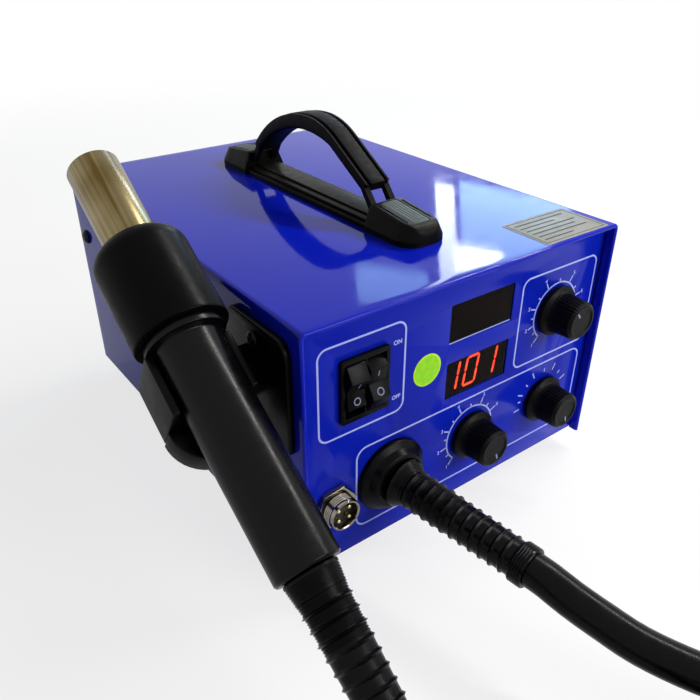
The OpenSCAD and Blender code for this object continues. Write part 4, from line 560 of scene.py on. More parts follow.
class Form:
    """One piece's mesh while it is made, in millimetres in the row frame."""

    def __init__(self, name: str) -> None:
        """Starts an empty piece of that name."""
        self.name = name
        self.bm = bmesh.new()

    def grid(self, rows: Sequence[Sequence[Vector]], loop: bool, caps: bool = False, ring: bool = False) -> "Form":
        """Joins rows of points with faces.

        Args:
            rows: Rows of the same number of points.
            loop: Whether each row closes on itself.
            caps: Whether the first and last rows are filled.
            ring: Whether the last row joins the first.

        Returns:
            This form.
        """
        made = [[self.bm.verts.new(p) for p in row] for row in rows]
        width = len(made[0])
        last = len(made) if ring else len(made) - 1
        for j in range(last):
            low, high = made[j], made[(j + 1) % len(made)]
            for i in range(width if loop else width - 1):
                k = (i + 1) % width
                self.bm.faces.new((low[i], low[k], high[k], high[i]))
        if caps:
            self.bm.faces.new(list(reversed(made[0])))
            self.bm.faces.new(made[-1])
        return self

    def lathe(self, line: Sequence[Sequence[float]], place: Matrix, steps: int = 64, closed: bool = False) -> "Form":
        """Turns a line about local z.

        Args:
            line: (radius, height) points; a radius of 0 closes on the axis.
            place: The local frame.
            steps: Number of facets round the axis.
            closed: Whether the line closes on itself.

        Returns:
            This form.
        """
        rings: list[list[bmesh.types.BMVert]] = []
        for radius, height in line:
            if radius < 1e-6:
                rings.append([self.bm.verts.new(place @ Vector((0, 0, height)))] * steps)
            else:
                rings.append([
                    self.bm.verts.new(
                        place @ Vector((radius * math.cos(2 * math.pi * i / steps),
                                        radius * math.sin(2 * math.pi * i / steps), height))
                    )
                    for i in range(steps)
                ])
        pairs = list(zip(rings, rings[1:])) + ([(rings[-1], rings[0])] if closed else [])
        for low, high in pairs:
            for i in range(steps):
                k = (i + 1) % steps
                corners = [low[i], low[k], high[k], high[i]]
                face = list(dict.fromkeys(corners))
                if len(face) > 2:
                    self.bm.faces.new(face)
        return self

    def prism(
        self,
        outline: Sequence[Flat],
        low: float,
        high: float,
        place: Matrix,
        holes: Iterable[Sequence[Flat]] = (),
    ) -> "Form":
        """Raises a flat outline into a plate.

        Args:
            outline: The closed line round it.
            low: Local z of its back.
            high: Local z of its face.
            place: The local frame.
            holes: Closed lines of the holes through it.

        Returns:
            This form.
        """
        edges: list[bmesh.types.BMEdge] = []
        plate = bmesh.new()
        for line in (outline, *holes):
            verts = [plate.verts.new((x, y, low)) for x, y in line]
            edges += [plate.edges.new((verts[i - 1], verts[i])) for i in range(len(verts))]
        bmesh.ops.triangle_fill(plate, use_beauty=True, use_dissolve=True, edges=edges)
        bmesh.ops.recalc_face_normals(plate, faces=plate.faces)
        base = list(plate.faces)
        raised = bmesh.ops.extrude_face_region(plate, geom=base, use_keep_orig=True)
        for item in raised["geom"]:
            if isinstance(item, bmesh.types.BMVert):
                item.co.z = high
        bmesh.ops.recalc_face_normals(plate, faces=plate.faces)
        bmesh.ops.transform(plate, matrix=place, verts=plate.verts)
        self.absorb(plate)
        return self

    def band(self, outer: Sequence[Flat], inner: Sequence[Flat], low: float, high: float, place: Matrix) -> "Form":
        """A thin closed band between two lines of the same number of points.

        Args:
            outer: The outside line.
            inner: The inside line.
            low: Local z of its back.
            high: Local z of its face.
            place: The local frame.

        Returns:
            This form.
        """
        rows = [
            [place @ Vector((x, y, level)) for x, y in line]
            for line, level in ((outer, low), (outer, high), (inner, high), (inner, low))
        ]
        return self.grid(rows, loop=True, ring=True)

    def box(self, size: Solid, place: Matrix, middle: Solid = (0, 0, 0)) -> "Form":
        """A plain block inside a larger piece, before its edges are bevelled.

        Args:
            size: Its sizes along the local axes.
            place: The local frame.
            middle: Its centre in the local frame.

        Returns:
            This form.
        """
        half = [s / 2 for s in size]
        flat = [(-half[0], -half[1]), (half[0], -half[1]), (half[0], half[1]), (-half[0], half[1])]
        outline = [(x + middle[0], y + middle[1]) for x, y in flat]
        return self.prism(outline, middle[2] - half[2], middle[2] + half[2], place)

    def absorb(self, other: bmesh.types.BMesh) -> None:
        """Takes over another mesh's faces."""
        mesh = bpy.data.meshes.new("passing")
        other.to_mesh(mesh)
        other.free()
        self.bm.from_mesh(mesh)
        bpy.data.meshes.remove(mesh)

    def lettering(self, body: str, size: float, place: Matrix, high: float = 0.06, bold: float = 0.0) -> "Form":
        """Raised figures or letters, centred on the local frame.

        Args:
            body: The characters.
            size: Their height.
            place: The local frame.
            high: How far they stand out.
            bold: How much each stroke is widened on both sides.

        Returns:
            This form.
        """
        curve = bpy.data.curves.new("figures", "FONT")
        curve.body = body
        curve.size = size
        curve.align_x, curve.align_y = "CENTER", "CENTER"
        curve.extrude = high / 2
        curve.offset = bold
        holder = bpy.data.objects.new("figures", curve)
        bpy.context.scene.collection.objects.link(holder)
        mesh = bpy.data.meshes.new_from_object(holder.evaluated_get(bpy.context.evaluated_depsgraph_get()))
        mesh.transform(place @ Matrix.Translation((0, 0, high / 2)))
        self.bm.from_mesh(mesh)
        bpy.data.objects.remove(holder)
        bpy.data.curves.remove(curve)
        bpy.data.meshes.remove(mesh)
        return self

    def cut(self, *tools: "Form") -> "Form":
        """Takes other forms out of this one.

        Args:
            tools: The cutting forms, which are used up.

        Returns:
            This form.
        """
        holder = bpy.data.objects.new("blank", self.raw_mesh(1.0))
        bpy.context.scene.collection.objects.link(holder)
        cutters = []
        for tool in tools:
            cutter = bpy.data.objects.new("cutter", tool.raw_mesh(1.0))
            bpy.context.scene.collection.objects.link(cutter)
            step = holder.modifiers.new("cut", "BOOLEAN")
            step.operation, step.solver, step.object = "DIFFERENCE", "EXACT", cutter
            cutters.append(cutter)
        mesh = bpy.data.meshes.new_from_object(holder.evaluated_get(bpy.context.evaluated_depsgraph_get()))
        self.bm = bmesh.new()
        self.bm.from_mesh(mesh)
        for spent in (holder, *cutters):
            bpy.data.objects.remove(spent)
        return self

    def raw_mesh(self, scale: float) -> bpy.types.Mesh:
        """Gives the mesh as it stands, scaled, and empties the form."""
        bmesh.ops.recalc_face_normals(self.bm, faces=self.bm.faces)
        mesh = bpy.data.meshes.new(self.name)
        self.bm.to_mesh(mesh)
        self.bm.free()
        mesh.transform(Matrix.Scale(scale, 4))
        return mesh

    def done(
        self,
        body: str,
        finish: Finish,
        replaces: Sequence[str] = (),
        bevel: float = 0.0,
        bevel_steps: int = 2,
        angle: float = 38.0,
        parent: bool = True,
    ) -> bpy.types.Object:
        """Finishes the piece and puts it on its body.

        Args:
            body: The CAD body that it rides on.
            finish: Its surface.
            replaces: CAD nodes that it stands for.
            bevel: Width of the bevel on its sharp edges, in millimetres.
            bevel_steps: Pieces in the bevel.
            angle: Edges sharper than this stay sharp, in degrees.
            parent: Whether it rides now.

        Returns:
            The piece.
        """
        bmesh.ops.remove_doubles(self.bm, verts=self.bm.verts, dist=0.0005)
        piece = bpy.data.objects.new(self.name, self.raw_mesh(0.001))
        bpy.context.scene.collection.objects.link(piece)
        if bevel:
            step = piece.modifiers.new("edge", "BEVEL")
            step.width, step.segments = bevel / 1000, bevel_steps
            step.limit_method, step.angle_limit = "ANGLE", math.radians(angle)
            step.miter_outer = "MITER_ARC"
            mesh = bpy.data.meshes.new_from_object(piece.evaluated_get(bpy.context.evaluated_depsgraph_get()))
            piece.modifiers.clear()
            piece.data = mesh
            mesh.name = self.name
        piece.data.polygons.foreach_set("use_smooth", [True] * len(piece.data.polygons))
        piece.data.set_sharp_from_angle(angle=math.radians(angle))
        piece.data.materials.clear()
        piece.data.materials.append(finish.build())
        if parent:
            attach(piece, body)
        if replaces:
            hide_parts(*replaces)
        LOG.info("made %s on %s", self.name, body)
        return piece


def sweep_rows(path: Sequence[Vector], section: Callable[[float], Sequence[Flat]], up: Vector) -> list[list[Vector]]:
    """Rows of points for a section carried along a path.

    Args:
        path: The centreline.
        section: Gives the section's flat points at a share of the way, x across and y up.
        up: A direction that is never along the path.

    Returns:
        One row for each point of the path.
    """
    rows = []
    for i, point in enumerate(path):
        ahead = (path[min(i + 1, len(path) - 1)] - path[max(i - 1, 0)]).normalized()
        across = ahead.cross(up).normalized()
        top = across.cross(ahead)
        rows.append([point + across * x + top * y for x, y in section(i / (len(path) - 1))])
    return rows


def smooth_path(points: Sequence[Solid], step_mm: float) -> list[Vector]:
    """An even, smooth line through points.

    Args:
        points: The points that it passes.
        step_mm: Distance between the new points.

    Returns:
        Points along a curve that passes all the given ones.
    """
    knots = [Vector(p) for p in points]
    fine: list[Vector] = []
    for i in range(len(knots) - 1):
        a, b, c, d = knots[max(i - 1, 0)], knots[i], knots[i + 1], knots[min(i + 2, len(knots) - 1)]
        count = max(2, round((c - b).length / step_mm))
        for k in range(count):
            t = k / count
            fine.append(
                0.5 * ((2 * b) + (c - a) * t + (2 * a - 5 * b + 4 * c - d) * t * t
                       + (3 * b - a - 3 * c + d) * t ** 3)
            )
    return fine + [knots[-1]]


# The station's parts


class Drive(Enum):
    """How a screw head takes its driver."""

    CROSS = "cross"
    SLOT = "slot"


@dataclass
class PanScrew:
    """A pan head screw seated on a face."""

    head_d: float = 6.4
    head_h: float = 2.0
    drive: Drive = Drive.CROSS

    def into(self, form: Form, place: Matrix, turn: float = 20.0) -> None:
        """Adds one screw head to a form.

        Args:
            form: The form that collects the screws.
            place: Frame on the seat, local z out.
            turn: Direction of the drive, in degrees.
        """
        r, h = self.head_d / 2, self.head_h
        head = Form("head").lathe(
            eased([(0, -0.6), (r - 0.4, -0.6), (r - 0.4, 0), (r, 0, 0.15), (r, h * 0.45, h * 0.5),
                   (r * 0.6, h, h * 0.4), (0, h)], steps=5),
            place, 32)
        arms = 2 if self.drive is Drive.CROSS else 1
        spin = place @ Matrix.Rotation(math.radians(turn), 4, "Z")
        tools = []
        for k in range(arms):
            arm = spin @ Matrix.Rotation(math.radians(90 * k), 4, "Z")
            tools.append(Form("drive").prism(
                [(-r * 0.55, -0.35), (r * 0.55, -0.35), (r * 0.55, 0.35), (-r * 0.55, 0.35)],
                h * 0.45, h + 1, arm))
        head.cut(*tools)
        form.absorb(head.bm)


@dataclass
class Housing:
    """The case: folded cover, set-back panels, base tray, side screws and feet."""

    width: float = 187.0
    depth: float = 245.0
    height: float = 125.0
    feet: float = 10.0
    sheet: float = 1.2
    hem: float = 2.2
    hem_depth: float = 5.2
    bend: float = 3.0
    setback: float = 5.5
    flange: float = 28.0
    tray: float = 18.0
    panel_half: float = 92.0
    panel_top: float = 133.5
    corner: float = 1.8

    @property
    def top(self) -> float:
        """Height of the cover's top face."""
        return self.feet + self.height

    @property
    def front(self) -> float:
        """Plane of the front panel."""
        return -self.depth / 2 + self.setback

    @property
    def rear(self) -> float:
        """Plane of the rear panel."""
        return self.depth / 2 - self.setback

    def u_line(self, inset: float) -> list[Flat]:
        """The cover's cross line at a distance inside its outer face."""
        half, top, r = self.width / 2 - inset, self.top - inset, max(self.bend - inset, 0.5)
        return ([(-half, self.feet)] + arc((-half + r, top - r), r, 180, 90, 8)
                + arc((half - r, top - r), r, 90, 0, 8) + [(half, self.feet)])

    def cover(self) -> None:
        """The cover: one bent sheet with rolled hems at both ends."""
        nose = self.hem / 2
        end = self.depth / 2
        hem_end = end - self.hem_depth
        stations = [
            (-end + nose * (1 - math.cos(math.radians(a))), nose * (1 - math.sin(math.radians(a))),
             nose * (1 + math.sin(math.radians(a)))) for a in range(0, 91, 15)
        ] + [(-hem_end - 0.3, 0.0, self.hem), (-hem_end, 0.0, self.hem - 0.3), (-hem_end + 0.05, 0.0, self.sheet)]
        stations += [(0.0, 0.0, self.sheet)] + [(-y, o, i) for y, o, i in reversed(stations)]
        rows = []
        for y, outer, inner in stations:
            loop = self.u_line(outer) + list(reversed(self.u_line(inner)))
            rows.append([Vector((x, y, z)) for x, z in loop])
        Form("bent_cover").grid(rows, loop=True).done("housing", ENAMEL, ["cover"], angle=32)

    def panels(self) -> None:
        """Front panel with its openings, and rear panel with its vents."""
        half, high, corner = self.panel_half, self.panel_top, self.corner
        rect = [(-half, self.feet), (half, self.feet), (half, high - corner), (half - corner, high),
                (corner - half, high), (-half, high - corner)]
        lift = self.feet
        holes = [round_box(23, 28, 0.5, 2, (-60, lift + 88.8))]
        holes += [round_box(40, 19.6, 0.5, 3, (7.8, lift + z)) for z in (99.8, 70.3)]
        holes += [arc((x, lift + z), r, 0, 352.5, 47) for x, z, r in
                  ((59.5, 86, 3.7), (7.5, 33.5, 3.7), (59.5, 33.5, 3.7), (-75.5, 32, 8.1), (-44, 34, 12.2))]
        plate = Form("front_plate").prism(rect, -self.sheet, 0, facing_front(0, self.front, 0), holes)
        self.flanges(plate, self.front, 1)
        plate.done("housing", PANEL_ENAMEL, ["front_panel"], bevel=0.22)
        place = facing_rear(0, self.rear, 0)
        holes = [round_box(27.6, 46.6, 0.6, 3, (-55, lift + 48))]
        holes += [round_box(4, 34, 1.9, 5, (14 + i * 9, lift + z)) for i in range(9) for z in (30, 76)]
        plate = Form("rear_plate").prism(rect, -self.sheet, 0, place, holes)
        self.flanges(plate, self.rear, -1)
        plate.done("housing", ENAMEL, ["rear_panel"], bevel=0.22)

    def flanges(self, plate: Form, plane: float, inward: int) -> None:
        """Adds a panel's two side flanges.

        Args:
            plate: The panel's form.
            plane: Its outer plane.
            inward: 1 when the flanges run towards +y, -1 towards -y.
        """
        low, high = self.feet + self.sheet, self.panel_top - self.corner
        for side in (-1, 1):
            middle = Vector((side * (self.panel_half - self.sheet / 2),
                             plane + inward * (self.sheet / 2 + self.flange / 2), (low + high) / 2))
            plate.box((self.sheet, self.flange, high - low), Matrix.Translation(middle))

    def base(self) -> None:
        """Base tray with its side flanges and air slots."""
        front, rear = self.front + self.sheet, self.rear - self.sheet
        rect = [(-self.panel_half, front), (self.panel_half, front), (self.panel_half, rear),
                (-self.panel_half, rear)]
        slots = [round_box(3, 40, 1.4, 4, (44 + i * 7, -8 + 20)) for i in range(-4, 5)]
        level = placed((0, 0, self.feet), (1, 0, 0), (0, 1, 0))
        tray = Form("base_pan").prism(rect, 0, self.sheet, level, slots)
        run = rear - front - 2 * self.flange - 0.6
        for side in (-1, 1):
            middle = Vector((side * (self.panel_half - self.sheet / 2), 0, self.feet + self.tray / 2))
            tray.box((self.sheet, run, self.tray), Matrix.Translation(middle))
        tray.done("housing", ENAMEL, ["base_tray"], bevel=0.2)

    def fixings(self) -> None:
        """Side screws of the cover, rubber feet and their screws."""
        screws = Form("cover_side_screws")
        front_y = self.front + self.sheet + self.flange - 8
        rear_y = self.rear - self.sheet - 5
        low = self.feet + self.tray / 2 + 1
        seats = [(-1, front_y, self.feet + 50), (1, front_y, self.top - 6)]
        for side in (-1, 1):
            seats += [(side, rear_y, self.feet + 88), (side, -self.depth * 0.22, low),
                      (side, self.depth * 0.22, low)]
        for turn, (side, y, z) in enumerate(seats):
            PanScrew(8.4, 2.4).into(screws, facing_side(side, side * self.width / 2, y, z), 17 + 23 * turn)
        screws.done("housing", BLACK_STEEL, ["cover_screws"], angle=30)
        feet, pins = Form("pressed_feet"), Form("feet_fixings")
        for x in (-75, 75):
            for y in (-100, 100):
                place = Matrix.Translation((x, y, 0))
                feet.lathe(eased([(1.7, 10), (10, 10, 0.4), (8.6, 0, 1.2), (4.2, 0, 0.6), (4.2, 5.5, 0.3),
                                  (1.7, 5.5)], closed=True, steps=4), place, 48, closed=True)
                under = placed((x, y, 5.5), (1, 0, 0), (0, -1, 0))
                PanScrew().into(pins, under, 40)
        feet.done("housing", FOOT_RUBBER, ["rubber_feet"])
        pins.done("housing", ZINC, ["feet_screws"], angle=30)

    def label(self) -> None:
        """The foil label near the front right corner of the top, with blank rules."""
        place = placed((65.2, -106, self.top), (math.cos(-0.02), math.sin(-0.02), 0),
                       (-math.sin(-0.02), math.cos(-0.02), 0))
        Form("foil_label").prism(round_box(44, 29.5, 1.2), 0, 0.12, place).done("housing", FOIL, bevel=0.04)
        rules = Form("label_rules")
        rules.band(round_box(41, 26.5, 0.8), round_box(40, 25.5, 0.4), 0.12, 0.15, place)
        for k, width in enumerate((34, 24, 34, 30, 34, 20)):
            centre = (-(34 - width) / 2 - 1.0, 9.5 - 3.8 * k)
            rules.prism(round_box(width, 1.0, 0.2, 2, centre), 0.12, 0.15, place)
        rules.done("housing", LABEL_INK)

    def make(self) -> None:
        """Makes the whole case."""
        self.cover()
        self.panels()
        self.base()
        self.fixings()
        self.label()


@dataclass(frozen=True)
class Scale:
    """The printed scale round one knob, with the angles of its ticks in degrees."""

    x: float
    z: float
    long_ticks: tuple[float, ...]
    short_ticks: tuple[float, ...]
    ring: bool


@dataclass
class PanelPrint:
    """Printed frames, dial scales and the round sticker on the front panel."""

    plane: float = -117.0
    lift: float = 10.0
    line: float = 0.9
    ink: float = 0.05
    ring_r: float = 15.2
    figure_r: float = 20.7

    def at(self, x: float, z: float) -> Matrix:
        """A frame on the panel at x and height z above the housing's bottom."""
        return facing_front(x, self.plane, self.lift + z)

    def frames(self) -> None:
        """Three printed frames with round corners."""
        form = Form("printed_frames")
        for x0, x1, z0, z1, r in ((-83, -37.6, 67, 112, 5), (-63.6, 87, 10.5, 56, 6), (33.5, 88.4, 60, 109, 5)):
            w, h = x1 - x0, z1 - z0
            place = self.at((x0 + x1) / 2, (z0 + z1) / 2)
            form.band(round_box(w, h, r, 8), round_box(w - 2 * self.line, h - 2 * self.line, r - self.line, 8),
                      0, self.ink, place)
        form.done("housing", PRINT_INK)

    def scale(self, form: Form, scale: Scale) -> None:
        """One scale: ticks, and on two of them a part ring and figures.

        Args:
            form: The form that collects the print.
            scale: Where it stands and what it has.
        """
        place = self.at(scale.x, scale.z)
        if scale.ring:
            outer = arc((0, 0), self.ring_r + 0.4, 12, 229, 56)
            inner = arc((0, 0), self.ring_r - 0.4, 229, 12, 56)
            form.prism(outer + inner, 0, self.ink, place)
        ticks = [(a, 4.0, 0.75) for a in scale.long_ticks] + [(a, 1.9, 0.8) for a in scale.short_ticks]
        for angle, length, width in ticks:
            spoke = place @ Matrix.Rotation(math.radians(angle), 4, "Z")
            start = self.ring_r + (0.1 if scale.ring else 0.8)
            form.prism([(start, -width / 2), (start + length, -width / 2), (start + length, width / 2),
                        (start, width / 2)], 0, self.ink, spoke)
        for number, angle in enumerate(scale.long_ticks if scale.ring else (), 1):
            turn = math.radians(angle)
            spot = place @ Matrix.Translation((self.figure_r * math.cos(turn), self.figure_r * math.sin(turn), 0))
            form.lettering(str(number), 2.9, spot, self.ink, bold=0.05)

    def words(self) -> None:
        """ON and OFF beside the power switch."""
        form = Form("switch_words")
        form.lettering("ON", 2.9, self.at(-42.2, 102.3), self.ink, bold=0.07)
        form.lettering("OFF", 2.7, self.at(-42.1, 75.1), self.ink, bold=0.07)
        form.done("housing", PRINT_INK)

    def sticker(self) -> None:
        """A round green sticker with a yellower rim, slightly domed at its edge."""
        place = self.at(-24.6, 82.1)
        Form("round_sticker").lathe([(0, 0.16), (6.8, 0.16), (7.2, 0.15)], place, 64).done("housing", STICKER_VINYL)
        Form("sticker_rim").lathe([(7.2, 0.15), (7.9, 0.13), (8.05, 0.06), (8.05, 0)], place, 64).done(
            "housing", STICKER_RIM)

    def make(self) -> None:
        """Makes all the print."""
        self.frames()
        scales = Form("printed_scales")
        for scale in (
            Scale(60.0, 85.3, (228, 195, 162, 118, 57, 14), (212, 179, 142, 87, 33), True),
            Scale(6.8, 34.2, (228, 190, 156, 116, 67, 27), (210, 172, 136, 92, 46), True),
            Scale(59.5, 33.6, (185, 156, 116, 64, 21), (169, 136, 89, 41), False),
        ):
            self.scale(scales, scale)
        scales.done("housing", PRINT_INK)
        self.words()
        self.sticker()


@dataclass
class PowerSwitch:
    """The double rocker switch: a bezel with two rockers, marked with a line and a ring."""

    x: float = -60.0
    z: float = 98.8
    plane: float = -117.0
    width: float = 25.0
    height: float = 30.4
    out: float = 1.8
    slot_w: float = 10.0
    divider: float = 1.0
    radius: float = 12.6
    valley: float = 2.2
    peak: float = 5.1
    peak_up: float = 6.8
    tilt: float = 10.0

    def bezel(self) -> None:
        """The bezel and the body behind the panel."""
        place = facing_front(self.x, self.plane, self.z)
        slot_h = 2 * (self.radius + 0.3)
        slots = [round_box(self.slot_w, slot_h, 0.3, 2, (s * (self.slot_w + self.divider) / 2, 0)) for s in (-1, 1)]
        form = Form("switch_bezel")
        form.prism(round_box(self.width, self.height, 1.2), 0, self.out, place, slots)
        form.prism(round_box(self.width - 2.4, self.height - 2.8, 0.4, 2), -9, 0, place, slots)
        form.prism(round_box(self.width - 2.4, self.height - 2.8, 0.4, 2), -24, -9, place)
        form.done("housing", BLACK_ABS, ["switch_body"], bevel=0.35, bevel_steps=3)

    def side_line(self) -> list[Flat]:
        """The rocker's side view: x forward of the pivot, y up, a valley between two blunt peaks."""
        back_angle = math.degrees(math.acos(-4.0 / self.radius))
        upper = [(self.peak, self.peak_up)] + arc((0, 0), self.radius, 90, back_angle, 6)
        lower = [(x, -y) for x, y in reversed(upper)]
        return [(self.valley, 0.0)] + upper + lower

    def rocker(self, side: int, body: str, node: str) -> None:
        """One rocker with its two marks.

        Args:
            side: -1 for the left one, 1 for the right one.
            body: Its CAD body.
            node: The CAD node that it replaces.
        """
        mid = self.x + side * (self.slot_w + self.divider) / 2
        pivot = Matrix.Translation((mid, self.plane, self.z))
        lean = pivot @ Matrix.Rotation(math.radians(-side * self.tilt), 4, "X")
        # Local x forward, local y up, local z across
        view = lean @ placed((0, 0, 0), (0, -1, 0), (0, 0, 1))
        half = (self.slot_w - 0.6) / 2
        Form(f"rocker_{'left' if side < 0 else 'right'}_cap").prism(self.side_line(), -half, half, view).done(
            body, BLACK_ABS, [node], bevel=0.45, bevel_steps=3, angle=20)
        marks = Form(f"rocker_{'left' if side < 0 else 'right'}_marks")
        slope = math.atan2(self.peak - self.valley, self.peak_up)
        for up in (1, -1):
            tilt = lean @ Matrix.Translation((0, -self.valley - 4.1 * math.tan(slope), up * 4.1))
            face = tilt @ Matrix.Rotation(up * slope, 4, "X") @ placed((0, 0, 0), (1, 0, 0), (0, 0, 1))
            if up > 0:
                marks.prism(round_box(0.5, 3.0, 0.2, 2), 0, 0.06, face)
            else:
                marks.band(arc((0, 0), 1.75, 0, 352.5, 47), arc((0, 0), 1.25, 0, 352.5, 47), 0, 0.06, face)
        marks.done(body, PAD_PRINT)

    def make(self) -> None:
        """Makes the switch."""
        self.bezel()
        self.rocker(-1, "left_rocker", "rocker_left")
        self.rocker(1, "right_rocker", "rocker_right")


@dataclass
class Displays:
    """Two tinted windows over three-digit modules; the lower one is lit."""

    x: float = 7.8
    upper: float = 109.8
    lower: float = 80.3
    plane: float = -117.0
    width: float = 40.0
    height: float = 19.6
    slant: float = 8.0

    def strokes(self, place: Matrix, lit: str, digits: tuple[Form, Form, Form]) -> None:
        """The seven strokes of one digit.

        Args:
            place: Frame at the digit's middle.
            lit: Letters of the strokes that are lit, from a to g.
            digits: The forms of the dark strokes, the lit ones and the glow at their edges.
        """
        w, h, t = 3.7, 7.4, 1.1
        lean = math.tan(math.radians(self.slant))
        bars = {"a": (0, h, True), "b": (w, h / 2, False), "c": (w, -h / 2, False), "d": (0, -h, True),
                "e": (-w, -h / 2, False), "f": (-w, h / 2, False), "g": (0, 0, True)}
        for name, (x, y, flat) in bars.items():
            rims = ((1, 0.0, 0.06), (2, 0.45, 0.02)) if name in lit else ((0, 0.0, 0.05),)
            for form, wider, high in rims:
                tip = t / 2 + wider
                long_half = (w if flat else h / 2) - 0.2 + wider
                line = [(-long_half, 0), (tip - long_half, tip), (long_half - tip, tip), (long_half, 0),
                        (long_half - tip, -tip), (tip - long_half, -tip)]
                if not flat:
                    line = [(-v, u) for u, v in line]
                digits[form].prism([(x + u + (y + v) * lean, y + v) for u, v in line], 0, high, place)

    def make(self) -> None:
        """Makes windows, module faces and digits."""
        panes, faces = Form("display_panes"), Form("module_faces")
        digits = (Form("dark_segments"), Form("lit_segments"), Form("segment_edges"))
        for z, texts in ((self.upper, ("", "", "")), (self.lower, ("bc", "abcdef", "bc"))):
            place = facing_front(self.x, self.plane, z)
            panes.prism(round_box(self.width - 0.6, self.height - 0.6, 0.4, 3), -1.9, -0.5, place)
            faces.prism(round_box(self.width - 2.4, self.height - 0.8, 0.4, 3), -9, -2.05, place)
            for k, lit in enumerate(texts):
                spot = place @ Matrix.Translation(((k - 1) * 12.3 - 2.4, 0, -2.05))
                self.strokes(spot, lit, digits)
        # Painted highlight: a thin pale strip in print ink along the upper window's lower edge, standing in for the
        # light that the cut edge catches
        edge = facing_front(self.x, self.plane, self.upper - self.height / 2 + 0.45)
        Form("painted_pane_edge_highlight").prism(round_box(self.width - 1.2, 0.5, 0.15, 2), -0.5, -0.42, edge).done("housing", PRINT_INK)
        panes.done("housing", WINDOW_ACRYLIC, ["display_windows"])
        faces.done("housing", MODULE_FACE, ["display_modules"], bevel=0.2)
        for form, finish in zip(digits, (DARK_SEGMENT, LIT_SEGMENT, SEGMENT_HALO)):
            form.done("housing", finish)


@dataclass
class Knobs:
    """Three knobs with sloping skirt, flutes, domed nose ring and a pointer line."""

    plane: float = -117.0
    grip_r: float = 9.5
    skirt_r: float = 13.0
    length: float = 16.5
    clear: float = 0.8
    flutes: int = 36

    def knob(self, name: str, body: str, node: str, x: float, z: float, turn: float) -> None:
        """One knob.

        Args:
            name: The piece's name.
            body: Its CAD body.
            node: The CAD node that it replaces.
            x: Its axis from the centre line.
            z: Its axis above the table.
            turn: Where its pointer stands, in degrees from straight up.
        """
        place = facing_front(x, self.plane, z) @ Matrix.Rotation(math.radians(turn), 4, "Z")
        low, high = self.clear, self.clear + self.length
        profile = eased([(6.5, low), (self.skirt_r, low, 0.3), (self.skirt_r, low + 2.1, 0.8),
                         (self.grip_r + 1.3, low + 3.6, 1.5), (self.grip_r + 0.7, low + 6.0, 2.5),
                         (self.grip_r + 0.2, high - 1.4, 0.3),
                         (self.grip_r - 1.2, high, 0.5), (self.grip_r - 2.3, high, 0.3),
                         (self.grip_r - 2.8, high - 0.5, 0.3), (0, high - 0.35)], steps=4)
        steps = self.flutes * 6
        rows = []
        for radius, height in profile:
            row = []
            for i in range(steps):
                angle = 2 * math.pi * i / steps
                inside = low + 3.9 < height < high - 0.9 and radius > self.grip_r - 1
                dip = 0.32 * max(0.0, math.cos(self.flutes * angle)) if inside else 0.0
                r = max(radius - dip, 0.02)
                row.append(place @ Vector((r * math.cos(angle), r * math.sin(angle), height)))
            rows.append(row)
        Form(name).grid(rows, loop=True).done(body, KNOB_NYLON, [node], angle=40)
        line = Form(f"{name}_pointer").prism(round_box(0.9, 4.2, 0.3, 2, (0, self.grip_r - 3.9)), high - 0.46,
                                             high - 0.33, place)
        line.done(body, PAD_PRINT)

    def make(self) -> None:
        """Makes the three knobs."""
        self.knob("heater_knob", "heater_control", "knob_heater", 59.5, 96.0, 35)
        self.knob("air_knob", "air_control", "knob_air", 7.5, 43.5, -160)
        self.knob("iron_knob", "iron_control", "knob_iron", 59.5, 43.5, -165)


@dataclass
class RoundSocket:
    """The chromed multi-pin socket: threaded shell, hexagon nut, insert and pins."""

    x: float = -75.5
    z: float = 42.0
    plane: float = -117.0
    shell_r: float = 7.9
    bore_r: float = 6.4
    out: float = 9.0
    recess: float = 4.0
    pin_ring: float = 3.9

    def make(self) -> None:
        """Makes the socket's four pieces."""
        place = facing_front(self.x, self.plane, self.z)
        thread: list[Flat] = []
        for k in range(5):
            h = 2.9 + k * 1.0
            thread += [(self.shell_r - 0.35, h), (self.shell_r, h + 0.35), (self.shell_r, h + 0.6)]
        neck = self.shell_r - 0.5
        line = [(self.bore_r, -12), (6.9, -12), (6.9, -1.2), (neck, -1.2), (neck, 2.8)] + thread + [
            (self.shell_r - 0.2, self.out - 0.9), (self.shell_r - 0.5, self.out - 0.15),
            (self.shell_r - 0.9, self.out), (self.bore_r + 0.35, self.out), (self.bore_r, self.out - 0.35)]
        Form("threaded_shell").lathe(line, place, 64, closed=True).done("housing", CHROME, ["socket_shell"], angle=30)
        hexagon = [(19 / math.sqrt(3) * math.cos(math.radians(60 * k + 8)),
                    19 / math.sqrt(3) * math.sin(math.radians(60 * k + 8))) for k in range(6)]
        nut = Form("socket_ring_nut").prism(hexagon, 0, 2.6, place, [arc((0, 0), neck + 0.05, 0, 352.5, 47)])
        nut.done("housing", CHROME, ["socket_nut"], bevel=0.5, bevel_steps=3)
        holes = [arc((self.pin_ring * math.cos(math.radians(a)), self.pin_ring * math.sin(math.radians(a))), 1.15,
                     0, 345, 23) for a in (45, 135, 225, 315)]
        face = self.out - self.recess
        insert = Form("socket_disc").prism(arc((0, 0), self.bore_r - 0.06, 0, 354, 59), -12, face, place, holes)
        insert.done("housing", SOCKET_PHENOLIC, ["socket_insert"], bevel=0.2)
        pins = Form("contact_pins")
        for a in (45, 135, 225, 315):
            spot = place @ Matrix.Translation((self.pin_ring * math.cos(math.radians(a)),
                                               self.pin_ring * math.sin(math.radians(a)), 0))
            pins.lathe(eased([(0, -15), (0.9, -15), (0.9, self.out - 1.2, 0.7), (0, self.out - 1.2)], steps=5), spot, 20)
        pins.done("housing", PIN_GOLD, ["socket_pins"])


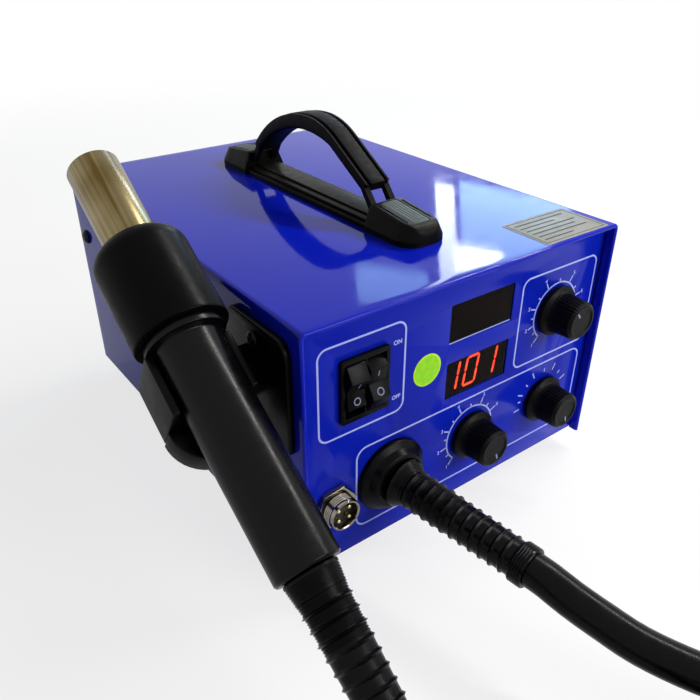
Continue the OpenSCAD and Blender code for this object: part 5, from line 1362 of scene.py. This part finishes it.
@dataclass
class HoseFront:
    """The gland on the panel and the ringed sleeve that the hose leaves by."""

    gland: Solid = (-44.0, -117.0, 44.0)
    end: Solid = (-33.9, -193.4, 41.0)
    flange_r: float = 18.5
    root_r: float = 12.0
    sleeve_r: float = 8.5
    pitch: float = 5.0

    def make(self) -> None:
        """Makes the gland and the sleeve."""
        place = facing_front(*self.gland)
        line = eased([(8.8, -11.2), (12, -11.2), (12, 0), (self.flange_r, 0, 0.3), (self.flange_r, 2.2, 1.4),
                      (self.flange_r - 3, 4.2, 1.6), (self.root_r + 2, 7.4, 1.2), (self.root_r + 0.6, 8.0, 0.4),
                      (8.8, 8.0)], closed=True, steps=5)
        Form("gland_flange").lathe(line, place, 72, closed=True).done("housing", BLACK_ABS, ["hose_gland"], angle=30)
        axis = Vector(self.end) - Vector(self.gland)
        length = axis.length - 0.3
        along = placed(self.gland, axis.cross(Vector((0, 0, 1))).normalized(),
                       axis.cross(axis.cross(Vector((0, 0, 1)))).normalized() * -1)
        if (along.to_3x3() @ Vector((0, 0, 1))).dot(axis) < 0:
            along = along @ Matrix.Rotation(math.pi, 4, "X")
        profile = ringed_line(start=8.6, end=length, root_r=self.root_r, root_l=6, r0=self.sleeve_r + 0.7,
                              r1=self.sleeve_r, pitch=self.pitch, fine_until=30, bore=5.0)
        Form("front_ringed_sleeve").lathe(profile, along, 72, closed=True).done(
            "housing", HOSE_RUBBER, ["hose_sleeve"], angle=25)


def ringed_line(start: float, end: float, root_r: float, root_l: float, r0: float, r1: float, pitch: float,
                fine_until: float, bore: float) -> list[Flat]:
    """The side line of a ringed rubber sleeve.

    Args:
        start: Where the sleeve starts along its axis.
        end: Where it ends.
        root_r: Radius at its start.
        root_l: Length over which the root tapers.
        r0: Radius of its rings after the root.
        r1: Radius of its rings at the end.
        pitch: Distance between the rings.
        fine_until: How far the fine thread reaches.
        bore: Radius of its bore.

    Returns:
        (radius, height) points of a closed line.
    """
    line: list[Flat] = [(bore, start), (root_r - 0.8, start), (root_r, start + 0.6)]
    collar = end - 6.5
    height = start + 1.5
    while height < collar - 1.2:
        share = (height - start) / (collar - start)
        ring = r0 + (r1 - r0) * share
        base = ring - 0.75
        if height - start < root_l:
            base = root_r - (root_r - base) * (height - start) / root_l
        phase = (height - start) % pitch
        lift = 0.0
        if height - start > root_l - 2:
            lift = 0.85 * max(0.0, 1 - abs(phase - 0.5 * pitch) / 0.9)
        if height - start < fine_until:
            lift += 0.16 * (1 if int((height - start) / 0.5) % 2 else -1)
        line.append((base + lift, height))
        height += 0.25
    line += [(r1 - 0.7, collar - 0.6), (r1 + 0.2, collar), (r1 + 0.5, collar + 0.5)]
    for k in range(4):
        line += [(r1 + 0.5, collar + 0.9 + 1.2 * k), (r1 + 0.25, collar + 1.2 + 1.2 * k),
                 (r1 + 0.5, collar + 1.5 + 1.2 * k)]
    line += [(r1 + 0.4, end - 0.5), (r1, end - 0.1), (r1 - 0.5, end), (bore, end)]
    return line


@dataclass
class AirHose:
    """The rubber air hose: out of the front sleeve, round a coil and back to the gun."""

    radius: float = 7.5
    coil_r: float = 80.0
    coil_centre: Flat = (-40.0, -350.0)

    FRONT = ((-33.85, -193.45, 41), (-32.95, -200.3, 40.6), (-31, -210, 38.2), (-26.5, -222, 34),
             (-21, -236, 29.8), (-12, -254, 27), (0, -272, 25), (14, -290, 24), (27, -308, 23), (36, -328, 22.5))
    GUN = ((-120, -330, 7.5), (-120, -310, 7.5), (-120, -292, 8), (-120, -274, 10.5), (-120, -258, 15),
           (-120, -244, 21.5), (-120, -232, 28.5), (-120, -222, 35.3), (-120, -216, 39.6))

    def route(self) -> list[Solid]:
        """The hose's points: front run, one and a half turns of coil, and the run to the gun."""
        cx, cy = self.coil_centre
        turns: list[Solid] = []
        for k in range(37):
            # Clockwise seen from above, from the right of the coil to its left
            angle = 0 - 15 * k
            drop = min(max((k - 12) / 10, 0.0), 1.0)
            height = 22.5 - 15 * (drop * drop * (3 - 2 * drop))
            turns.append((cx + self.coil_r * math.cos(math.radians(angle)),
                          cy + self.coil_r * math.sin(math.radians(angle)), height))
        return list(self.FRONT) + turns + list(self.GUN)

    def make(self) -> bpy.types.Object:
        """Returns:
            The hose.
        """
        path = smooth_path(self.route(), 5.0)
        ring = arc((0, 0), self.radius, 0, 345, 23)
        rows = sweep_rows(path, lambda share: ring, Vector((0, 0, 1)))
        hose = Form("rubber_air_hose").grid(rows, loop=True, caps=True).done(
            "housing", HOSE_RUBBER, ["air_hose", "hose_coil"], parent=False)
        length = sum((b - a).length for a, b in zip(path, path[1:])) / 1000
        LOG.info("hose length %.3f m", length)
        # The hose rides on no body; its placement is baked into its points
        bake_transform(hose)
        return hose


@dataclass
class AirGun:
    """The hot air gun: ringed sleeve, handle, collar and drawn steel pipe."""

    x: float = -120.3
    y: float = -83.0
    z: float = 126.0
    grip_l: float = 98.0
    grip_r: float = 13.5
    collar_r: float = 19.4
    collar_l: float = 43.5
    pipe_r: float = 11.0
    swage: float = 0.6
    tip: float = 86.0

    def axis(self) -> Matrix:
        """Frame on the gun's axis, local z towards the tip."""
        return placed((self.x, self.y, self.z), (1, 0, 0), (0, math.sin(GUN_SLOPE), -math.cos(GUN_SLOPE)))

    def make(self) -> None:
        """Makes the gun's outer pieces and dresses the heater inside."""
        axis = self.axis()
        low = -self.grip_l
        grip = eased([(9.5, low), (12.2, low, 0.4), (12.9, low + 0.9, 0.5), (self.grip_r - 0.2, low + 40),
                      (self.grip_r, -12), (self.grip_r, -4.6, 0.8), (15.4, -3.7, 0.3), (16.5, -3.4, 0.3),
                      (16.5, -0.3, 0.3), (12.5, -0.1), (12.5, 12), (10.3, 12), (10.3, low + 12)],
                     closed=True, steps=4)
        Form("grip_tube").lathe(grip, axis, 96, closed=True).done("gun", GRIP_NYLON, ["gun_handle"], angle=30)
        r, c = self.collar_r, self.collar_l
        side = r - 13.2
        shoulder = [(r - side + side * math.cos(math.radians(a)), c - 8 + 8 * math.sin(math.radians(a)))
                    for a in range(0, 91, 9)]
        collar = [(12.6, 0.1), (r - 0.9, 0.0), (r - 0.2, 0.15), (r, 0.5), (r, 1.2)] + shoulder + [(12.0, c), (11.9, c - 0.4), (11.9, c - 6), (14, c - 6),
                                                           (14, 12), (12.6, 12)]
        Form("collar_shell").lathe(collar, axis, 96, closed=True).done(
            "gun", COLLAR_PHENOLIC, ["gun_collar"], angle=35)
        start = c - 23
        root = self.pipe_r + self.swage
        pipe = [(root - 0.8, start), (13.6, start), (13.6, start + 1.5), (root, start + 1.5), (root, c + 0.5),
                (root - 0.2, c + 0.8), (self.pipe_r, c + 1.1), (self.pipe_r, self.tip - 0.5),
                (self.pipe_r - 0.15, self.tip - 0.15), (self.pipe_r - 0.4, self.tip), (10.35, self.tip - 0.1),
                (10.2, self.tip - 0.5), (10.2, c + 0.3), (root - 0.8, c - 0.3)]
        Form("drawn_pipe").lathe(pipe, axis, 96, closed=True).done("gun", PIPE_STEEL, ["gun_pipe"], angle=35)
        back = axis @ Matrix.Translation((0, 0, low)) @ Matrix.Rotation(math.pi, 4, "X")
        sleeve = ringed_line(start=0.2, end=60, root_r=10.5, root_l=12, r0=9.9, r1=8.5, pitch=5.0, fine_until=26,
                             bore=5.0)
        Form("gun_ringed_sleeve").lathe(sleeve, back, 72, closed=True).done(
            "gun", HOSE_RUBBER, ["gun_tail_sleeve"], angle=25)
        dress("heater_former", CERAMIC)
        dress("heater_coil", HEATER_WIRE)
        dress("heater_liner", MICA)


@dataclass
class Cradle:
    """The moulded trough on the left wall that the gun's handle lies in."""

    inner_r: float = 14.3
    half_w: float = 17.5
    depth: float = 26.0
    rim: float = 1.5
    rear: float = 4.0
    length: float = 25.0
    tongue: float = 17.0
    wall_x: float = -93.5

    def make(self) -> None:
        """Makes the trough, its tongue, web and plate, and the fixing screws."""
        frame_here = placed((-120.3, -83.0, 126.0), (1, 0, 0), (0, -math.sin(GUN_SLOPE), math.cos(GUN_SLOPE)))
        trough = [(-self.half_w, -self.depth, 3.0), (self.half_w, -self.depth, 3.0), (self.half_w, self.rim, 0.8),
                  (self.inner_r, self.rim, 0.6)]
        trough += arc((0, 0), self.inner_r, 0, -180, 24)[1:]
        trough += [(-self.inner_r, self.rim, 0.6), (-self.half_w, self.rim, 0.8)]
        form = Form("moulded_cradle")
        form.prism(eased(trough, closed=True, steps=4), self.rear, self.rear + self.length, frame_here)
        plan = [(-self.half_w, 0), (self.half_w, 0)]
        nose = [(self.half_w * math.cos(math.radians(a)), self.tongue * math.sin(math.radians(a)))
                for a in range(0, 181, 9)]
        floor = frame_here @ placed((0, -self.depth, self.rear + self.length), (1, 0, 0), (0, 0, 1))
        form.prism([plan[0]] + list(reversed(nose[1:-1])) + [plan[1]], -(self.depth - self.inner_r), 0, floor)
        form.box((8, 16, self.length - 8), frame_here, (20.5, -14, self.rear + self.length / 2))
        y0, z0 = -93.8, 102.1
        wall = facing_side(-1, self.wall_x, y0, z0)
        form.prism(round_box(46, 54, 7, 8), 0, 3, wall)
        form.done("housing", BLACK_ABS, ["gun_cradle"], bevel=0.6, bevel_steps=3, angle=40)
        screws = Form("pan_fixings")
        for k, side in enumerate((-1, 1)):
            PanScrew().into(screws, facing_side(-1, self.wall_x - 3, y0, z0 + side * 20), 12 + 50 * k)
            PanScrew().into(screws, facing_rear(55 + side * 20, 120, 58), 30 + 40 * k)
            PanScrew().into(screws, placed((0, side * 74, 139), (1, 0, 0), (0, 1, 0)), 60 * k)
        screws.done("housing", BLACK_STEEL, ["fixing_screws"], angle=30)


@dataclass
class CarryHandle:
    """The carry handle: ribbed base bar, two end caps with inserts, and the arched strap."""

    top: float = 135.0
    half_l: float = 88.0
    cap_in: float = 56.0
    cap_h: float = 12.5
    cap_drop: float = 3.0
    cap_slope_l: float = 26.0
    strap_w: float = 15.0
    strap_t: float = 5.0
    crown_t: float = 7.2
    front_r: float = 44.0
    rear_r: float = 68.0
    front_slope: float = 31.0
    rear_more: float = 0.06
    crown_z: float = 177.0
    band_half: float = 4.4
    groove: float = 1.5
    rail_x: float = 5.9
    rail_w: float = 3.0
    foot_z: float = 141.2
    foot_t: float = 3.2
    insert_w: float = 10.0
    insert_l: float = 25.0
    insert_mid: Flat = (70.1, 145.89)

    @property
    def strap_end(self) -> float:
        """Distance of the strap's ends from the middle, along the handle."""
        return self.cap_in - 6

    @property
    def rear_slope(self) -> float:
        """Slope of the strap at its rear end, in degrees."""
        return math.degrees(math.asin(self.strap_end / self.rear_r))

    def bar(self) -> None:
        """The base bar with its stepped rib."""
        level = placed((0, 0, self.top), (1, 0, 0), (0, 1, 0))
        form = Form("handle_base_bar")
        form.prism(round_box(23, 166, 6, 6), 0, 2.5, level)
        form.prism(round_box(19, 111.4, 1.4, 3), 2.5, 4.0, level)
        form.prism(round_box(11, 111.4, 1.4, 3), 4.0, 5.0, level)
        form.done("housing", HANDLE_PP, ["handle_bar"], bevel=0.35, bevel_steps=2)

    def cap_rows(self, end: int) -> list[list[Vector]]:
        """Sections of one end cap, from its inner to its outer end.

        Args:
            end: -1 for the front cap, 1 for the rear one.

        Returns:
            Rows of points.
        """
        rows = []
        inner, outer = self.cap_in, self.half_l
        for share in [i / 32 for i in range(33)]:
            d = inner + (outer - inner) * share
            nose = max(0.0, (d - (outer - 9)) / 9)
            wide = 13 - 9 + 9 * math.sqrt(max(0.0, 1 - nose * nose)) if nose else 13.0
            top_nose = max(0.0, (d - (outer - 11.5)) / 11.5)
            narrow = 9.3 * (0.35 + 0.65 * math.sqrt(max(0.0, 1 - top_nose * top_nose)))
            high = self.cap_h - self.cap_drop * max(0.0, d - inner - 1) / self.cap_slope_l
            high *= math.sqrt(max(0.0, 1 - max(0.0, (d - (outer - 5.5)) / 5.6) ** 2)) * 0.55 + 0.45
            ease = min(1.0, (d - inner) / 1.2)
            high -= 0.8 * (1 - math.sqrt(ease * (2 - ease)))
            section = eased([(-wide, 0), (-wide, 2.6, 1.0), (-min(narrow, wide - 0.6), high, 1.5),
                             (min(narrow, wide - 0.6), high, 1.5), (wide, 2.6, 1.0), (wide, 0)], steps=5)
            rows.append([Vector((x * -end, end * d, self.top + z)) for x, z in section])
        return rows

    def lengthwise(self, x: float) -> Matrix:
        """A frame across the handle at x, with local x along it and local y up."""
        return placed((x, 0, 0), (0, 1, 0), (0, 0, 1))

    def slots(self, end: int) -> list[Form]:
        """The cutters of a cap: the insert's seat, a groove on each side of it, and the two rail slots.

        Args:
            end: -1 for the front cap, 1 for the rear one.

        Returns:
            One form for each cut.
        """
        seat = self.seat(end)
        tools = [Form("seat").prism(round_box(self.insert_w, self.insert_l, 1.2, 4), -1.6, 4, seat)]
        tools += [Form("groove").prism(round_box(1.0, self.insert_l - 4, 0.45, 3, (x, 0)), -0.7, 4, seat)
                  for x in (-7, 7)]
        mouth, foot = self.cap_in - 1, self.foot_z
        line = [(mouth, foot - 0.3), (self.cap_in + 6.3, foot - 0.3), (self.cap_in + 6.3, foot + self.foot_t + 0.3),
                (self.cap_in + 3, foot + self.foot_t + 0.3), (mouth, foot + self.foot_t + 1.9)]
        half = self.rail_w / 2 + 0.3
        tools += [Form("rail_slot").prism([(end * y, z) for y, z in line], -half, half, self.lengthwise(x))
                  for x in (-self.rail_x, self.rail_x)]
        return tools

    def seat(self, end: int) -> Matrix:
        """The frame on a cap's sloping top, at the middle of its insert."""
        tilt = math.atan2(self.cap_drop, self.cap_slope_l)
        return (Matrix.Translation((0, end * self.insert_mid[0], self.insert_mid[1]))
                @ Matrix.Rotation(-end * tilt, 4, "X"))

    def caps(self) -> None:
        """Both end caps and their ribbed inserts."""
        form, inserts = Form("handle_caps"), Form("handle_inserts")
        for end in (-1, 1):
            cap = Form("cap").grid(self.cap_rows(end), loop=True, caps=True)
            cap.cut(*self.slots(end))
            form.absorb(cap.bm)
            seat = self.seat(end)
            inserts.prism(round_box(self.insert_w - 0.6, self.insert_l - 0.6, 1.0, 4), -1.5, 0.0, seat)
            for k in range(5):
                rib = round_box(0.95, self.insert_l - 2.4, 0.4, 3, (-3.4 + 1.7 * k, 0))
                inserts.prism(rib, 0.0, 0.12, seat)
        form.done("housing", HANDLE_PP, ["handle_end_caps"], angle=32)
        inserts.done("housing", INSERT_PP, ["handle_cap_inserts"], bevel=0.15)

    def stations(self) -> list[tuple[Vector, Vector, float]]:
        """Places along the strap's outer face, from front to rear.

        Returns:
            For each its point, the direction out of the strap, and the strap's thickness there.
        """
        front, rear = math.radians(self.front_slope), math.radians(self.rear_slope)
        spots: list[tuple[float, float]] = [(self.front_r, front * (k / 14 - 1)) for k in range(14)]
        spots += [(self.rear_r, (rear + self.rear_more) * k / 19) for k in range(20)]
        found = []
        for radius, angle in spots:
            limit = front if radius == self.front_r else rear
            out = Vector((0, math.sin(angle), math.cos(angle)))
            point = Vector((0, 0, self.crown_z - radius)) + out * radius
            share = max(0.0, (math.cos(angle) - math.cos(limit)) / (1 - math.cos(limit)))
            found.append((point, out, self.strap_t + (self.crown_t - self.strap_t) * share))
        leg = (self.strap_end - self.front_r * math.sin(front)) / math.cos(front)
        start, out, _ = found[0]
        along = Vector((0, math.cos(front), math.sin(front)))
        return [(start - along * leg * k / 8, out, self.strap_t) for k in range(8, 0, -1)] + found

    def strap_section(self, thick: float) -> list[Flat]:
        """The strap's section: flat flanges, two grooves and the raised middle band."""
        half, band, edge = self.strap_w / 2, self.band_half, self.band_half + self.groove
        right = [(half, -thick, 1.4), (half, 0.3, 0.5), (edge, 0.3, 0.3), (edge, -1.3, 0.2), (band, -1.3, 0.2),
                 (band, 0.6, 0.5)]
        left = [(-x, y, r) for x, y, r in reversed(right)]
        return eased(right + left, closed=True, steps=3)

    def rail(self, form: Form, end: int) -> None:
        """The two rails that leave one end of the strap and run into the cap.

        Args:
            form: The strap's form.
            end: -1 for the front, 1 for the rear.
        """
        point, out, thick = self.stations()[0 if end < 0 else -1]
        inward = Vector((0, out.z, -out.y)) * -end
        middle = point - out * thick / 2 + inward * 1.5
        high, low = middle + out * 1.2, middle - out * 1.9
        foot, top = self.foot_z, self.foot_z + self.foot_t
        line = eased([(end * high.y, high.z), (self.cap_in + 0.2, top, 2.5), (self.cap_in + 6, top, 0.4),
                      (self.cap_in + 6, foot, 0.4), (self.cap_in - 1.8, foot, 3.0), (end * low.y, low.z)],
                     closed=True, steps=5)
        for x in (-self.rail_x, self.rail_x):
            form.prism([(end * y, z) for y, z in line], -self.rail_w / 2, self.rail_w / 2, self.lengthwise(x))

    def strap(self) -> None:
        """The arched strap, thicker at its crown, with the rails into the caps."""
        form = Form("arched_strap")
        rows = []
        stations = self.stations()
        for index, (point, out, thick) in enumerate(stations):
            section = self.strap_section(thick)
            at_end = index in (0, len(stations) - 1)
            shrink = 0.9 if at_end else 1.0
            middle = Vector((0, 0, 0)) - out * thick / 2
            row = [point + middle + (Vector((x, 0, 0)) + out * (y + thick / 2)) * shrink for x, y in section]
            rows.append(row)
            if at_end:
                inward = (stations[1][0] - point if index == 0 else stations[-2][0] - point).normalized() * 0.7
                full = [point + inward + Vector((x, 0, 0)) + out * y for x, y in section]
                rows.insert(len(rows) if index == 0 else len(rows) - 1, full)
        form.grid(rows, loop=True, caps=True)
        for end in (-1, 1):
            self.rail(form, end)
        form.done("housing", STRAP_VINYL, ["handle_strap"], angle=40)

    def make(self) -> None:
        """Makes the handle."""
        self.bar()
        self.caps()
        self.strap()


@dataclass
class RearFittings:
    """Mains inlet, its blades and the fuse drawer on the rear panel."""

    x: float = 55.0
    z: float = 58.0
    plane: float = 117.0

    def make(self) -> None:
        """Makes the inlet, and dresses the blades, drawer and fuse."""
        place = facing_rear(self.x, self.plane, self.z)
        mouth = [(-12, 17.3, 1), (-12, 5.7, 1), (-7, 0.7, 1), (7, 0.7, 1), (12, 5.7, 1), (12, 17.3, 1)]
        mouth = list(reversed(eased(mouth, closed=True, steps=3)))
        drawer = round_box(21.6, 11.6, 0.4, 2, (0, -14))
        form = Form("inlet_flange")
        ears = eased([(-20, -6, 6), (-15.5, -25, 1.5), (15.5, -25, 1.5), (20, -6, 6), (26, 0, 6), (20, 6, 6),
                      (15.5, 25, 1.5), (-15.5, 25, 1.5), (-20, 6, 6), (-26, 0, 6)], closed=True, steps=5)
        form.prism(ears, 0, 3, place, [mouth, drawer])
        form.prism(round_box(27, 46, 0.8, 3), -13, 0, place, [mouth, drawer])
        form.prism(round_box(27, 46, 0.8, 3), -24, -13, place)
        form.done("housing", BLACK_ABS, ["mains_inlet"], bevel=0.4, bevel_steps=3)
        dress("inlet_blades", ZINC)
        dress("fuse_drawer", BLACK_ABS)
        dress("fuse", FUSE_GLASS)


def dress(node: str, finish: Finish) -> None:
    """Gives a CAD node its finish.

    Args:
        node: The node's name.
        finish: Its surface.
    """
    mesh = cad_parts[node].data
    mesh.materials.clear()
    mesh.materials.append(finish.build())
    LOG.info("dressed %s", node)


@dataclass
class InnerParts:
    """Transformer, pump, tubing, boards and controls behind the panels."""

    def make(self) -> None:
        """Dresses every node that lies inside the case."""
        for finish, nodes in (
            (CORE_STEEL, ("transformer_core",)),
            (MAGNET_STEEL, ("pump_magnet",)),
            (WINDING_TAPE, ("transformer_winding", "pump_winding")),
            (ZINC, ("transformer_bracket", "pump_frame")),
            (MACHINED, ("control_pots", "control_nuts", "shaft_heater", "shaft_air", "shaft_iron", "pump_arm")),
            (FOOT_RUBBER, ("pump_feet", "pump_diaphragm")),
            (ACETAL, ("pump_chamber",)),
            (SILICONE, ("air_tube",)),
            (SOLDER_MASK, ("main_board", "display_board")),
            (ANODISED, ("heat_sink",)),
            (BLACK_ABS, ("gland_nut",)),
        ):
            for node in nodes:
                dress(node, finish)


@dataclass
class Studio:
    """Camera, floor, backdrop and lamps."""

    position: Solid = (-212.24, -309.99, 260.21)
    turn: float = -0.64541
    tilt: float = 0.53415
    roll: float = 0.00195
    focal_px: float = 720.22
    picture_px: float = 700.0
    aim: Solid = (-0.02, -0.02, 0.08)

    def camera(self) -> None:
        """The camera at the photograph's place, angle and lens."""
        back = Vector((math.sin(self.turn) * math.cos(self.tilt), -math.cos(self.turn) * math.cos(self.tilt),
                       math.sin(self.tilt)))
        right = (-back).cross(Vector((0, 0, 1))).normalized()
        up = right.cross(-back)
        c, s = math.cos(self.roll), math.sin(self.roll)
        across, top = right * c + up * s, up * c - right * s
        data = bpy.data.cameras.new("view")
        data.sensor_width, data.lens = 36.0, 36.0 * self.focal_px / self.picture_px
        data.clip_start, data.clip_end = 0.01, 20.0
        camera = bpy.data.objects.new("view", data)
        camera.matrix_world = Matrix.Translation(Vector(self.position) / 1000) @ Matrix(
            (across, top, back)).transposed().to_4x4()
        bpy.context.scene.collection.objects.link(camera)
        bpy.context.scene.camera = camera

    def lamp(self, name: str, spot: Solid, size: Flat, power: float, shade: str, along: Solid = (1, -1, 0)) -> None:
        """One soft lamp that points at the station.

        Args:
            name: Its name.
            spot: Where it hangs, in metres.
            size: Its width and height, in metres.
            power: Its power, in watts.
            shade: Its colour.
            along: The direction of its width.
        """
        data = bpy.data.lights.new(name, "AREA")
        data.shape, data.size, data.size_y, data.energy = "RECTANGLE", size[0], size[1], power
        data.color = linear(shade)[:3]
        lamp = bpy.data.objects.new(name, data)
        back = (Vector(spot) - Vector(self.aim)).normalized()
        across = (Vector(along) - back * back.dot(Vector(along))).normalized()
        lamp.matrix_world = Matrix.Translation(spot) @ Matrix((across, back.cross(across), back)).transposed().to_4x4()
        bpy.context.scene.collection.objects.link(lamp)

    def shown(self, tree: bpy.types.NodeTree, low: float, high: float, gloss: float) -> bpy.types.NodeSocket:
        """A value for the rays that show the backdrop: straight ones, and those from gloss and glass.

        Args:
            tree: The node tree that takes the nodes.
            low: The value for every other ray.
            high: The value for straight rays.
            gloss: The value for rays from gloss and glass.

        Returns:
            The value's output.
        """
        path = add_node(tree, "ShaderNodeLightPath").outputs
        bent = add_node(tree, "ShaderNodeMath", {"operation": "MAXIMUM"},
                        {0: path["Is Glossy Ray"], 1: path["Is Transmission Ray"]})
        value = add_node(tree, "ShaderNodeMapRange", {"To Min": low, "To Max": gloss}, {"Value": bent.outputs[0]})
        return add_node(tree, "ShaderNodeMapRange", {"To Max": high},
                        {"Value": path["Is Camera Ray"], "To Min": value.outputs["Result"]}).outputs["Result"]

    def surroundings(self) -> None:
        """White surroundings, as the camera and the gloss see them, and dimmer as light."""
        world = bpy.data.worlds.new("plain_studio")
        bpy.context.scene.world = world
        world.use_nodes = True
        tree = world.node_tree
        tree.nodes.clear()
        sky = add_node(tree, "ShaderNodeBackground", {"Color": (1, 1, 1, 1)},
                       {"Strength": self.shown(tree, 0.17, 1.0, 1.0)})
        add_node(tree, "ShaderNodeOutputWorld", {}, {"Surface": sky.outputs[0]})

    def floor(self) -> None:
        """A pale round floor that keeps the object's shadow and fades out into the surroundings."""
        rim = [(1.3 * math.cos(math.radians(a)), 1.3 * math.sin(math.radians(a)), 0) for a in range(0, 360, 5)]
        mesh = bpy.data.meshes.new("studio_floor")
        mesh.from_pydata(rim, [], [tuple(range(len(rim)))])
        floor = bpy.data.objects.new("studio_floor", mesh)
        bpy.context.scene.collection.objects.link(floor)
        material = bpy.data.materials.new("pale_paper_floor")
        material.use_nodes = True
        tree = material.node_tree
        shader, output = tree.nodes["Principled BSDF"], tree.nodes["Material Output"]
        shader.inputs["Base Color"].default_value = linear("#fbfbfb")
        shader.inputs["Roughness"].default_value = 0.9
        shader.inputs["Specular IOR Level"].default_value = 0.1
        place = add_node(tree, "ShaderNodeTexCoord").outputs["Object"]
        reach = add_node(tree, "ShaderNodeVectorMath", {"operation": "LENGTH"}, {0: place}).outputs["Value"]
        fade = add_node(tree, "ShaderNodeMapRange",
                        {"interpolation_type": "SMOOTHSTEP", "From Min": 0.45, "From Max": 1.2}, {"Value": reach})
        clear = add_node(tree, "ShaderNodeBsdfTransparent")
        white = add_node(tree, "ShaderNodeEmission", {"Strength": 1.0})
        pale = add_node(tree, "ShaderNodeMixShader", {},
                        {0: self.shown(tree, 0.0, 0.75, 0.3), 1: shader.outputs["BSDF"], 2: white.outputs["Emission"]})
        mixed = add_node(tree, "ShaderNodeMixShader", {},
                         {0: fade.outputs["Result"], 1: pale.outputs["Shader"], 2: clear.outputs["BSDF"]})
        tree.links.new(mixed.outputs["Shader"], output.inputs["Surface"])
        mesh.materials.append(material)

    def make(self) -> None:
        """Sets up camera, floor, surroundings and lamps."""
        self.camera()
        self.floor()
        self.surroundings()
        self.lamp("high_strip", (0.87, -0.2, 0.93), (0.8, 0.075), 9, "#fffdf8", (0.158, -0.66, -0.266))
        self.lamp("high_softbox", (0.75, 0.15, 1.05), (0.35, 0.25), 3.5, "#fffaf2")
        self.lamp("rear_window", (1.24, 0.86, 0.70), (0.3, 0.42), 2.4, "#a8d8ff")
        self.lamp("window_strip", (1.055, 0.945, 0.75), (0.05, 0.5), 0.95, "#e4f2ff")
        self.lamp("window_corner", (1.10, 0.87, 0.765), (0.13, 0.10), 0.7, "#f4f9ff")
        self.lamp("window_sill", (0.87, 0.985, 0.87), (0.2, 0.13), 0.42, "#a8d8ff")
        self.lamp("front_fill", (0.5, -1.2, 0.7), (0.8, 0.56), 12, "#ffffff", (1, 0.4, 0))
        scene = bpy.context.scene
        scene.view_settings.view_transform = "Standard"


def main() -> None:
    """Builds the station piece by piece."""
    logging.basicConfig(level=logging.INFO, format="%(name)s: %(message)s")
    Studio().make()
    AirHose().make()
    for part in (Housing(), PanelPrint(), PowerSwitch(), Displays(), Knobs(), RoundSocket(), HoseFront(), AirGun(),
                 Cradle(), CarryHandle(), RearFittings(), InnerParts()):
        part.make()


if __name__ == "__main__":
    main()
